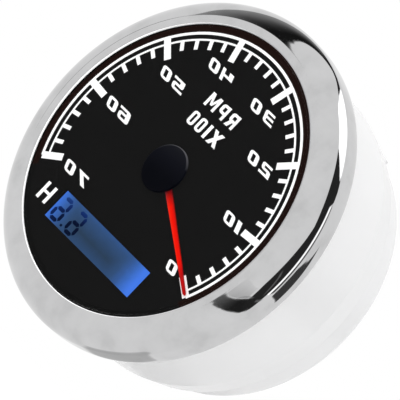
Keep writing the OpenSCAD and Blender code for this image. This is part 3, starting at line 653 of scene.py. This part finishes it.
def make_cap():
    """Pointer cap: a flat disc, very slightly domed, with a rounded edge."""
    r, low, high = radius_of("needle_cap"), back_of("needle_cap"), front_of("needle_cap")
    edge, sag = 0.3, 0.06
    across = np.linspace(r - edge, 0, 12)
    top = np.stack([across, high - sag * (across / r) ** 2], -1)
    section = np.concatenate([np.array([(0, low), (r, low)]),
                              arc((r - edge, top[0, 1] - edge), edge, 0, 90, 9)[:-1], top])
    points, faces = turned_cap(section, 160)
    piece("pointer_cap", points, faces, FINISHES["cap_black"], "pointer", ["needle_cap"])


def make_studs():
    """Mounting studs behind the wall: along each axis the radius is a chamfered point, a thread whose depth
    follows a flattened triangle wave of z / pitch + t / 2 pi, the bare core in the nut and the hexagon
    (af / 2) / cos(t folded to within 30 degrees of a flat)."""
    across_flats, head, point, depth, pitch, stud_r, offset = 7.0, 2.8, 0.6, 0.35, 0.7, 2.0, 28.0
    tip, bare, top = back_of("studs"), back_of("stud_nuts"), front_of("studs")
    t = np.linspace(0, 2 * np.pi, 48, endpoint=False)[:, None]
    z = np.concatenate([np.linspace(tip, tip + point, 5)[:-1], np.linspace(tip + point, bare, 177)])[None, :]
    wave = np.abs(2 * ((z / pitch + t / (2 * np.pi)) % 1) - 1)
    root, flank, blunt = 0.12, 0.72, 0.05
    thread = stud_r - depth * (1 - np.clip((wave - root) / flank, 0, 1))
    radius = np.minimum(thread, stud_r - point + (z - tip) + blunt)
    core = np.full((len(t), 2), stud_r - depth)
    hexagon = across_flats / 2 / np.cos((t + np.pi / 6) % (np.pi / 3) - np.pi / 6) + np.zeros((1, 2))
    radius = np.concatenate([radius, core, hexagon], 1)
    z = np.concatenate([z[0], [bare, top - head, top - head, top]])[None, :] + 0 * t
    parts = []
    for centre in (offset, -offset):
        ring = np.stack([radius * np.sin(t), radius * np.cos(t) + centre, z], -1)
        parts.append(poled(ring, [(0, centre, tip), (0, centre, top)]))
    points, faces = join(parts)
    piece("threaded_studs", points, faces, FINISHES["stud_steel"], replaced=["studs"],
          smooth=False)


make_bezel()
make_lip_edge()
make_lens()
make_cap()


# ---------------------------------------------------------------- printed strokes


def rounded(corners, radius, closed, steps=6):
    """A path whose corners are replaced by parabolic arcs between points one radius from each corner:
    (1-t)^2 A + 2 t (1-t) C + t^2 B."""
    c = np.asarray(corners, float)
    before, after = np.roll(c, 1, 0), np.roll(c, -1, 0)
    # just under half an edge, so that two neighbouring arcs never share a point
    reach_in = np.minimum(radius, np.linalg.norm(before - c, axis=1) * 0.48)[:, None]
    reach_out = np.minimum(radius, np.linalg.norm(after - c, axis=1) * 0.48)[:, None]
    a = c + unit(before - c) * reach_in
    b = c + unit(after - c) * reach_out
    t = np.linspace(0, 1, steps)[None, :, None]
    bends = (1 - t) ** 2 * a[:, None] + 2 * t * (1 - t) * c[:, None] + t ** 2 * b[:, None]
    if closed:
        return bends.reshape(-1, 2)
    return np.concatenate([c[:1], bends[1:-1].reshape(-1, 2), c[-1:]])


def stroke(path, width, closed, low, high):
    """A flat bar carried along a path: at each point its two sides stand off by half the width along
    the mitre, which is the mean normal over the cosine of half the turn."""
    p = np.asarray(path, float)
    ahead = np.roll(p, -1, 0) - p
    behind = p - np.roll(p, 1, 0)
    if not closed:
        ahead[-1], behind[0] = behind[-1], ahead[0]
    ahead, behind = unit(ahead), unit(behind)
    mitre = unit(np.stack([-(ahead + behind)[:, 1], (ahead + behind)[:, 0]], -1))
    normal = np.stack([-ahead[:, 1], ahead[:, 0]], -1)
    off = mitre * (width / 2) / np.maximum((mitre * normal).sum(1), 0.4)[:, None]
    left, right = p + off, p - off
    section = [np.column_stack([side, np.full(len(p), z)]) for side, z in
               ((left, low), (left, high), (right, high), (right, low))]
    points = np.stack(section, 1).reshape(-1, 3)
    faces = grid_faces(len(p), 4, wrap_rows=closed, wrap_columns=True).tolist()
    if not closed:
        end = 4 * (len(p) - 1)
        faces += [[0, 1, 2, 3], [end + 3, end + 2, end + 1, end]]
    return points, faces


def join(parts):
    """Several point and face lists as one."""
    points, faces, count = [], [], 0
    for p, f in parts:
        points.append(p)
        faces += [[count + i for i in row] for row in f]
        count += len(p)
    return np.concatenate(points), faces


def slab(outline, low, high):
    """A flat convex plate: its outline at two heights, capped, with one quad along each side."""
    outline = np.asarray(outline, float)
    count = len(outline)
    if np.cross(outline[1] - outline[0], outline[2] - outline[1]) > 0:
        outline = outline[::-1]
    points = np.concatenate([np.column_stack([outline, np.full(count, z)]) for z in (high, low)])
    sides = [[i, (i + 1) % count, count + (i + 1) % count, count + i] for i in range(count)]
    return points, [list(range(count))[::-1], list(range(count, 2 * count))] + sides


# Print shapes stand about each figure's middle, in a space whose x is squeezed so that one stroke width
# gives thick uprights and thin cross bars. A shape is (corners, kind, corner radius); kinds are an open
# or a closed stroke, and a filled plate
A, B, TOP = 0.72, 1.1, 1.39
NUMERALS = {
    "0": [([(-A, -B), (A, -B), (A, B), (-A, B)], "closed", 0.45),
          ([(-0.8, -0.95), (-0.27, -0.95), (-0.27, 0.95), (-0.8, 0.95)], "plate", 0)],
    "1": [([(-0.43, -TOP), (0.43, -TOP), (0.43, TOP), (-0.43, TOP)], "plate", 0)],
    "2": [([(-1.07, B), (A, B), (A, 0), (-A, 0), (-A, -B), (1.24, -B)], "open", 0.3),
          ([(-1.01, -TOP), (-0.28, -TOP), (-0.28, 0), (-0.8, 0), (-1.01, -0.3)], "plate", 0)],
    "3": [([(-1.03, B), (A, B), (A, -B), (-1.04, -B)], "open", 0.4), ([(-1.0, 0), (A, 0)], "open", 0)],
    "4": [([(-1.38, -0.2), (-0.5, -0.2), (-0.5, TOP), (-1.38, TOP)], "plate", 0),
          ([(-1.38, 0.06), (A, 0.06)], "open", 0),
          ([(0.42, -TOP), (1.02, -TOP), (1.02, TOP), (0.42, TOP)], "plate", 0)],
    "5": [([(1.17, B), (-0.89, B), (-0.89, 0), (0.86, 0), (0.86, -B), (-1.19, -B)], "open", 0.3),
          ([(-1.18, 0.2), (-0.3, 0), (-0.3, TOP), (-1.18, TOP)], "plate", 0)],
    "6": [([(1.14, B), (-0.97, B), (-0.97, -B), (0.84, -B), (0.84, 0.1), (-0.97, 0.1)], "open", 0.35),
          ([(-1.0, -1.0), (-0.43, -1.0), (-0.43, 1.0), (-1.0, 1.0)], "plate", 0)],
    "7": [([(-1.15, B), (0.9, B)], "open", 0),
          ([(0.27, TOP), (1.1, TOP), (-0.17, -TOP), (-1.05, -TOP)], "plate", 0)],
}


def upright(x, half, wide=0.34):
    """Corners of a capital's stem about a place."""
    return [(x - wide, -half), (x + wide, -half), (x + wide, half), (x - wide, half)]


CAPITALS = {
    "R": [(upright(-0.83, 1.93), "plate", 0),
          ([(-0.9, 1.52), (0.78, 1.52), (0.78, -0.12), (-0.9, -0.12)], "open", 0.5),
          ([(-0.3, -0.1), (0.55, -0.1), (1.28, -1.93), (0.36, -1.93)], "plate", 0)],
    "P": [(upright(-0.76, 1.93), "plate", 0),
          ([(-0.8, 1.52), (0.77, 1.52), (0.77, -0.3), (-0.8, -0.3)], "open", 0.55)],
    "M": [(upright(-1.22, 1.93), "plate", 0), (upright(1.22, 1.93), "plate", 0),
          ([(-1.4, 1.93), (-0.72, 1.93), (0.26, -1.0), (-0.26, -1.0)], "plate", 0),
          ([(1.4, 1.93), (0.72, 1.93), (-0.26, -1.0), (0.26, -1.0)], "plate", 0)],
    "X": [([(-1.52, -1.9), (-0.52, -1.9), (1.52, 1.9), (0.52, 1.9)], "plate", 0),
          ([(1.52, -1.9), (0.52, -1.9), (-1.52, 1.9), (-0.52, 1.9)], "plate", 0)],
    "1": [(upright(0, 1.9, 0.39), "plate", 0)],
    "0": [([(-0.62, -1.57), (0.62, -1.57), (0.62, 1.57), (-0.62, 1.57)], "closed", 0.55)],
    "H": [(upright(-1.09, 2.4, 0.39), "plate", 0), (upright(1.09, 2.4, 0.39), "plate", 0),
          ([(-1.1, 0.05), (1.1, 0.05)], "open", 0)],
}
# Thickness of the print, and the rise from one shape of a figure to the next
INK, OVERLAP = 0.06, 0.002


def letter(shapes, centre, width, squeeze, slant, low, high):
    """One figure: x = squeeze u + slant v, y = v, moved to its centre and set to the print's hand."""
    parts = []
    for level, (corners, kind, radius) in enumerate(shapes):
        # each shape of a figure lies a hair higher than the last, so that crossings don't flicker
        top = high + OVERLAP * level
        if kind == "plate":
            points, faces = slab(corners, low, top)
        else:
            path = rounded(corners, radius, kind == "closed") if radius else np.asarray(corners, float)
            points, faces = stroke(path, width, kind == "closed", low, top)
        points[:, 0] = PRINT_HAND * (squeeze * points[:, 0] + slant * points[:, 1] + centre[0])
        points[:, 1] += centre[1]
        parts.append((points, [row[::-1] for row in faces] if PRINT_HAND > 0 else faces))
    return parts


def make_numerals():
    """The scale's numerals: wide slanted figures, each at its own centre."""
    places = [
        ("0", -22.05, -15.5), ("1", -28.2, 2.3), ("0", -24.4, 2.3), ("2", -22.2, 16.5), ("0", -16.88, 16.5),
        ("3", -11.75, 25.78), ("0", -6.43, 25.78), ("4", 6.85, 25.75), ("0", 11.75, 25.75),
        ("5", 15.75, 16.35), ("0", 20.93, 16.35), ("6", 21.57, 2.2), ("0", 26.58, 2.2),
        ("7", 17.22, -15.63), ("0", 22.4, -15.63)]
    width, squeeze, slant = 0.57, 1.85, 0.47
    parts = []
    for figure, x, y in places:
        parts += letter(NUMERALS[figure], (x, y), width, squeeze, slant, DIAL_Z, DIAL_Z + INK)
    points, faces = join(parts)
    piece("dial_numerals", points, faces, FINISHES["print_white"], smooth=False)


def make_words():
    """The unit above the pointer and the letter beside the display: upright capitals."""
    places = [("R", -4.32, 19.33), ("P", -0.23, 19.33), ("M", 4.13, 19.33), ("X", -4.22, 13.36),
              ("1", -0.88, 13.36), ("0", 1.93, 13.36), ("0", 5.2, 13.36), ("H", 22.25, -23.85)]
    squeeze, slant = 1.3, 0.0
    parts = []
    for figure, x, y in places:
        width = 0.64 if figure == "0" else 0.72
        parts += letter(CAPITALS[figure], (x, y), width, squeeze, slant, DIAL_Z, DIAL_Z + INK)
    points, faces = join(parts)
    piece("dial_words", points, faces, FINISHES["print_white"], smooth=False)


def make_edge_band():
    """Dark brown band round the scale, over its sweep: from the outer arc to the dial's edge, down the
    step and across the lower rim."""
    sweep, skin, gap, inset = 123.5, 0.03, 0.05, 0.1
    turn = np.radians(np.linspace(-sweep, sweep, 200))[:, None]
    low = DIAL_Z - FACE_DROP
    inner, outer = OUTER_ARC_R + gap, radius_of("dial_plate") - inset
    r = np.array([inner, inner, FACE_R + skin, FACE_R + skin, outer, outer, FACE_R, FACE_R])
    z = np.array([DIAL_Z, DIAL_Z + skin, DIAL_Z + skin, low + skin, low + skin, low, low, DIAL_Z])
    points = np.stack([r * np.sin(turn), r * np.cos(turn), z + 0 * turn], -1)
    faces = grid_faces(len(turn), 8, wrap_columns=True).tolist()
    end = 8 * (len(turn) - 1)
    faces += [[0, 1, 2, 7][::-1], [2, 3, 6, 7][::-1], [3, 4, 5, 6][::-1],
              [end, end + 1, end + 2, end + 7], [end + 2, end + 3, end + 6, end + 7],
              [end + 3, end + 4, end + 5, end + 6]]
    piece("edge_band", points, faces, EDGE_BROWN_PAINTED_LIGHT, smooth=False)


def make_segments():
    """Display figures: two of the same, six bars each with pointed ends, and the point between them."""
    half_w, half_h, thick, gap, figure_y = 1.53, 1.45, 1.02, 0.17, -24.25
    bars = [((-half_w, 2 * half_h), (half_w, 2 * half_h)), ((-half_w, 0), (half_w, 0)),
            ((-half_w, -2 * half_h), (half_w, -2 * half_h)), ((-half_w, 0), (-half_w, 2 * half_h)),
            ((-half_w, -2 * half_h), (-half_w, 0)), ((half_w, -2 * half_h), (half_w, 0))]
    low, high = LCD_Z, LCD_Z + 0.03
    parts = [slab([(12.15, -27.3), (12.85, -27.3), (12.85, -26.7), (12.15, -26.7)], low, high)]
    for centre in (9.45, 15.75):
        for start, stop in bars:
            a, b = np.array(start, float), np.array(stop, float)
            along = unit(b - a)
            across = np.array((-along[1], along[0])) * thick / 2
            first, last = a + along * (gap + thick / 2), b - along * (gap + thick / 2)
            outline = np.array([a + along * gap, first + across, last + across,
                                b - along * gap, last - across, first - across])
            parts.append(slab(outline + (centre, figure_y), low, high))
    points, faces = join(parts)
    points[:, 0] *= PRINT_HAND
    if PRINT_HAND > 0:
        faces = [row[::-1] for row in faces]
    piece("display_segments", points, faces, SEGMENT_NAVY, smooth=False)


make_studs()
make_numerals()
make_words()
make_edge_band()
make_segments()


# ---------------------------------------------------------------- light and floor


def towards(places):
    """Unit vectors for rows of azimuth and elevation in degrees: azimuth 0 is straight in front of the
    dial and grows towards +X, elevation is above the horizon."""
    a, e = np.radians(np.asarray(places, float)).T
    return np.stack([np.sin(a) * np.cos(e), -np.cos(a) * np.cos(e), np.sin(e)], -1)


def card(name, first_edge, second_edge, light, across=(1, 1), along=(1, 1), soft=(0.04, 0.04), distance=5.0):
    """A curved studio card that only the polished parts mirror, spread between two edges of directions.
    Its cover is the product of a profile across it, a profile along it and a soft rim."""
    columns, rows = 97, 41
    u, v = np.linspace(0, 1, columns), np.linspace(0, 1, rows)

    def edge(places):
        rays = towards(places)
        stops = np.linspace(0, 1, len(rays))
        return np.stack([np.interp(u, stops, rays[:, k]) for k in range(3)], -1)

    def profile(x, values, rim):
        inside = np.interp(x, np.linspace(0, 1, len(values)), values)
        return inside * np.clip(x / rim, 0, 1) * np.clip((1 - x) / rim, 0, 1)

    rays = unit(edge(first_edge) * (1 - v[:, None, None]) + edge(second_edge) * v[:, None, None])
    points = WINDOW_CENTRE + rays * distance
    cover = profile(v, across, soft[0])[:, None] * profile(u, along, soft[1])[None, :]
    mesh = bpy.data.meshes.new(name)
    mesh.from_pydata(points.reshape(-1, 3), [], grid_faces(rows, columns).tolist())
    attribute = mesh.attributes.new("cover", "FLOAT", "POINT")
    attribute.data.foreach_set("value", cover.astype(np.float32).ravel())
    material = bpy.data.materials.new(name)
    material.use_nodes = True
    tree = material.node_tree
    link = tree.links.new
    tree.nodes.clear()
    output = tree.nodes.new("ShaderNodeOutputMaterial")
    mix = tree.nodes.new("ShaderNodeMixShader")
    clear = tree.nodes.new("ShaderNodeBsdfTransparent")
    glow = tree.nodes.new("ShaderNodeEmission")
    glow.inputs["Color"].default_value = (light, light, light, 1.0)
    read = tree.nodes.new("ShaderNodeAttribute")
    read.attribute_name = "cover"
    link(read.outputs["Fac"], mix.inputs["Fac"])
    link(clear.outputs["BSDF"], mix.inputs[1])
    link(glow.outputs["Emission"], mix.inputs[2])
    link(mix.outputs["Shader"], output.inputs["Surface"])
    mesh.materials.append(material)
    obj = bpy.data.objects.new(name, mesh)
    bpy.context.scene.collection.objects.link(obj)
    obj.visible_camera = obj.visible_diffuse = obj.visible_shadow = False
    obj.visible_transmission = obj.visible_volume_scatter = False


def make_cards():
    """Dark flags and pale cards round the gauge, which its polished bezel mirrors. Each edge is a row of
    azimuths and elevations."""
    card("flag_arch",
         [(-39.9, 0.6), (-39.8, 9.5), (-41.1, 17.2), (-47.7, 33.2), (-60.2, 44.9), (-78.5, 53),
          (-93.8, 56.2), (-107.7, 57.3), (-122.8, 56.8), (-136, 55.5)],
         [(-40.9, -0.2), (-55.9, 11.7), (-70.4, 20.8), (-84.2, 28.8), (-95.3, 33.9), (-104.6, 36.5),
          (-114.2, 38), (-122.5, 37.8), (-130.9, 38.8), (-139, 42.3)],
         0.012, across=(1, 1, 1, 0.98, 0.945, 0.89, 0.82, 0.76, 0.71, 0.66, 0.60), soft=(0.03, 0.01))
    card("flag_arch_tail",
         [(-131, 56), (-135.8, 56), (-138, 59.5), (-138, 65.5), (-134, 73.1), (-126, 79.5)],
         [(-129, 39.3), (-136, 39.8), (-141, 42), (-145.5, 47.5), (-149.5, 57), (-152, 70)],
         0.02, across=(1, 1, 1, 0.9), soft=(0.08, 0.08))
    card("flag_crease", [(-41.7, 0.4), (-42.1, 0), (-42.4, -0.4), (-42.6, -1.1), (-42.4, -1.8)],
         [(-46.1, 4.1), (-47.4, 2.9), (-48.5, 1.3), (-49.1, -1.1), (-48.3, -3.8)], 0.05,
         across=(0.8, 0.65, 0.45, 0.25, 0.1), along=(1, 1, 1, 0.8, 0.5), soft=(0.02, 0.1), distance=4.95)
    card("flag_thread",
         [(-38.6, -1.7), (-28, -5.1), (-18.5, -8.4), (2, -15.9), (22, -21.6), (42.2, -25.6),
          (63.3, -26.8), (82, -26.2), (100, -20.5)],
         [(-38.4, -1.55), (-27.5, -4.1), (-17.5, -6.4), (3.5, -11.7), (23.6, -15.2), (41.7, -16),
          (63.9, -15), (84, -13), (100, -14)],
         0.02, across=(1, 1, 1, 1, 0.97), along=(0.86, 0.87, 0.88, 0.92, 0.97, 1, 1, 1, 0.8), soft=(0.08, 0.01))
    card("flag_thread_side", [(-27, -4), (-17.5, -6.4), (3.5, -11.7), (23.6, -15.2), (40, -16), (54, -16)],
         [(-27, -2.8), (-8, -4.2), (10, -6), (28, -8), (40, -9), (53, -9)], 0.3,
         across=(0.55, 0.35, 0.12), along=(0.5, 0.7, 1, 1, 0.9), soft=(0.05, 0.1), distance=5.1)
    card("flag_block",
         [(60, -22), (54.5, -6.4), (57, 2.5), (62.5, 13.9), (67.5, 22.1), (71, 29.4), (65, 37.2), (59.5, 48),
          (48, 67.5), (66, 67), (88, 63.4), (108, 57.8), (120, 53.6), (130, 52)],
         [(98, -24), (99, -9.3), (99.2, 3.1), (101, 15.4), (103, 23.6), (104, 30.6), (105, 36), (106, 39),
          (107, 41), (110, 41.6), (116, 41.6), (122, 41.2), (127, 41.5), (132, 46)],
         0.028, soft=(0.03, 0.02))
    card("streak_upright", [(24, -15.9), (36, -15.8), (50, -16), (68, -16)],
         [(25, -14.9), (38, -14.6), (52, -14.2), (70, -14)],
         0.3, across=(0.6, 0.6), soft=(0.3, 0.2), distance=4.9)
    card("streak_slant", [(91, -11), (86, -4), (80, 1.5), (70, 5)], [(87, -13), (81, -7), (75, -1), (66, 3)],
         0.25, across=(0.6, 0.6), soft=(0.3, 0.2), distance=4.9)
    card("streak_foot", [(80, -15), (90, -14), (104, -11.5)], [(82, -17), (92, -16.5), (106, -14)],
         0.25, across=(0.6, 0.6), soft=(0.3, 0.2), distance=4.9)
    card("card_slot", [(97, -10), (97.3, 3), (99.5, 23.6), (102.5, 42.3)],
         [(109.5, -9.6), (110, 3), (113.5, 22.8), (119, 41.7)],
         1.9, across=(0.55, 1, 1, 0.9, 0.5), soft=(0.2, 0.02), distance=4.9)
    card("flag_slot_edge", [(108, -9), (108.5, 3), (112, 22.8), (118, 41.5)],
         [(124, -6.5), (124, 3), (126, 22), (129, 40)],
         0.03, across=(1, 1, 1, 0.7, 0.15), along=(1, 1, 0.9, 0.85, 0.8), soft=(0.04, 0.03), distance=4.85)
    card("card_top", [(48, 68), (67, 67.5), (89, 63.9), (109, 58.3), (121, 54.1), (131, 52.5)],
         [(5.7, 79), (-39.9, 84.3), (-132.5, 79.2), (-145.7, 67), (-149, 58), (-150, 53)],
         2.3, along=(1, 1, 1, 1, 0.5), soft=(0.02, 0.1))
    card("flag_wall", [(136.5, -7.3), (136.2, -1.1), (137, 3.4)], [(147, -8), (146.5, 4), (146, 19)], 0.06,
         across=(1, 1), soft=(0.06, 0.04))
    card("flag_wall_fade", [(128, -6.6), (128, -1.1), (129, 3)], [(138, -6.9), (137.5, -1.1), (138, 3.4)],
         0.06, across=(0, 0.1, 0.4, 0.85), soft=(0.02, 0.1))
    card("card_low", [(-139.4, -59.2), (-144, -51), (-145.7, -42.8), (-146.2, -34), (-145.7, -24), (-144.8, -14)],
         [(136.8, -71.5), (149.7, -64.4), (161.7, -58.1), (172.6, -50.8), (-177.5, -41.9), (-170, -32)],
         0.6, across=(1, 1, 0.9), along=(0.5, 1, 1, 1, 1), soft=(0.08, 0.06))


def make_world():
    """White to the camera, mirrors and glass, and a plainer level for the light on dull surfaces."""
    world = bpy.data.worlds.new("studio")
    bpy.context.scene.world = world
    world.use_nodes = True
    tree = world.node_tree
    link = tree.links.new
    tree.nodes.clear()
    output = tree.nodes.new("ShaderNodeOutputWorld")
    seen = tree.nodes.new("ShaderNodeBackground")
    lit = tree.nodes.new("ShaderNodeBackground")
    mix = tree.nodes.new("ShaderNodeMixShader")
    path = tree.nodes.new("ShaderNodeLightPath")
    seen.inputs["Color"].default_value = (1, 1, 1, 1)
    lit.inputs["Color"].default_value = (1, 1, 1, 1)
    lit.inputs["Strength"].default_value = 0.62
    first = tree.nodes.new("ShaderNodeMath")
    second = tree.nodes.new("ShaderNodeMath")
    first.operation = second.operation = "MAXIMUM"
    link(path.outputs["Is Camera Ray"], first.inputs[0])
    link(path.outputs["Is Glossy Ray"], first.inputs[1])
    link(first.outputs["Value"], second.inputs[0])
    link(path.outputs["Is Transmission Ray"], second.inputs[1])
    link(second.outputs["Value"], mix.inputs["Fac"])
    link(lit.outputs["Background"], mix.inputs[1])
    link(seen.outputs["Background"], mix.inputs[2])
    link(mix.outputs["Shader"], output.inputs["Surface"])


def lamp(name, place, size, watts):
    """A soft square lamp that faces the gauge and that mirrors don't show."""
    data = bpy.data.lights.new(name, "AREA")
    data.size, data.energy = size, watts
    obj = bpy.data.objects.new(name, data)
    place = np.array(place)
    back = unit(place - WINDOW_CENTRE)
    side = unit(np.cross((0.0, 0.0, 1.0), back))
    turn = np.eye(4)
    turn[:3, 0], turn[:3, 1], turn[:3, 2], turn[:3, 3] = side, np.cross(back, side), back, place
    obj.matrix_world = Matrix(turn.tolist())
    obj.visible_glossy = False
    bpy.context.scene.collection.objects.link(obj)


def make_floor():
    """Plain pale floor under the gauge. It shows white to the camera, keeps the gauge's shadow and can be
    seen through from below."""
    half, drop = 3.0, 0.15
    level = cad_box[0].z - drop
    corners = [(x * half, y * half, level) for x, y in ((-1, -1), (1, -1), (1, 1), (-1, 1))]
    mesh = bpy.data.meshes.new("floor")
    mesh.from_pydata(corners, [], [(0, 1, 2, 3)])
    material = bpy.data.materials.new("floor")
    material.use_nodes = True
    tree = material.node_tree
    link = tree.links.new
    shader = tree.nodes["Principled BSDF"]
    shader.inputs["Base Color"].default_value = (0.8, 0.8, 0.8, 1)
    shader.inputs["Roughness"].default_value = 0.9
    shader.inputs["Specular IOR Level"].default_value = 0.0
    shader.inputs["Emission Color"].default_value = (1, 1, 1, 1)
    path = tree.nodes.new("ShaderNodeLightPath")
    level_up = tree.nodes.new("ShaderNodeMath")
    level_up.operation = "MULTIPLY"
    level_up.inputs[1].default_value = 0.8
    link(path.outputs["Is Camera Ray"], level_up.inputs[0])
    link(level_up.outputs["Value"], shader.inputs["Emission Strength"])
    below = tree.nodes.new("ShaderNodeNewGeometry")
    clear = tree.nodes.new("ShaderNodeBsdfTransparent")
    mix = tree.nodes.new("ShaderNodeMixShader")
    link(below.outputs["Backfacing"], mix.inputs["Fac"])
    link(shader.outputs["BSDF"], mix.inputs[1])
    link(clear.outputs["BSDF"], mix.inputs[2])
    link(mix.outputs["Shader"], tree.nodes["Material Output"].inputs["Surface"])
    mesh.materials.append(material)
    obj = bpy.data.objects.new("floor", mesh)
    obj.visible_glossy = False
    bpy.context.scene.collection.objects.link(obj)


make_cards()
make_world()
lamp("key_lamp", (-0.35, -0.75, 0.75), 0.8, 5.0)
lamp("fill_lamp", (0.9, -0.55, 0.35), 0.9, 4.0)
lamp("back_lamp", (0.2, 0.9, 0.7), 0.9, 3.0)
make_floor()
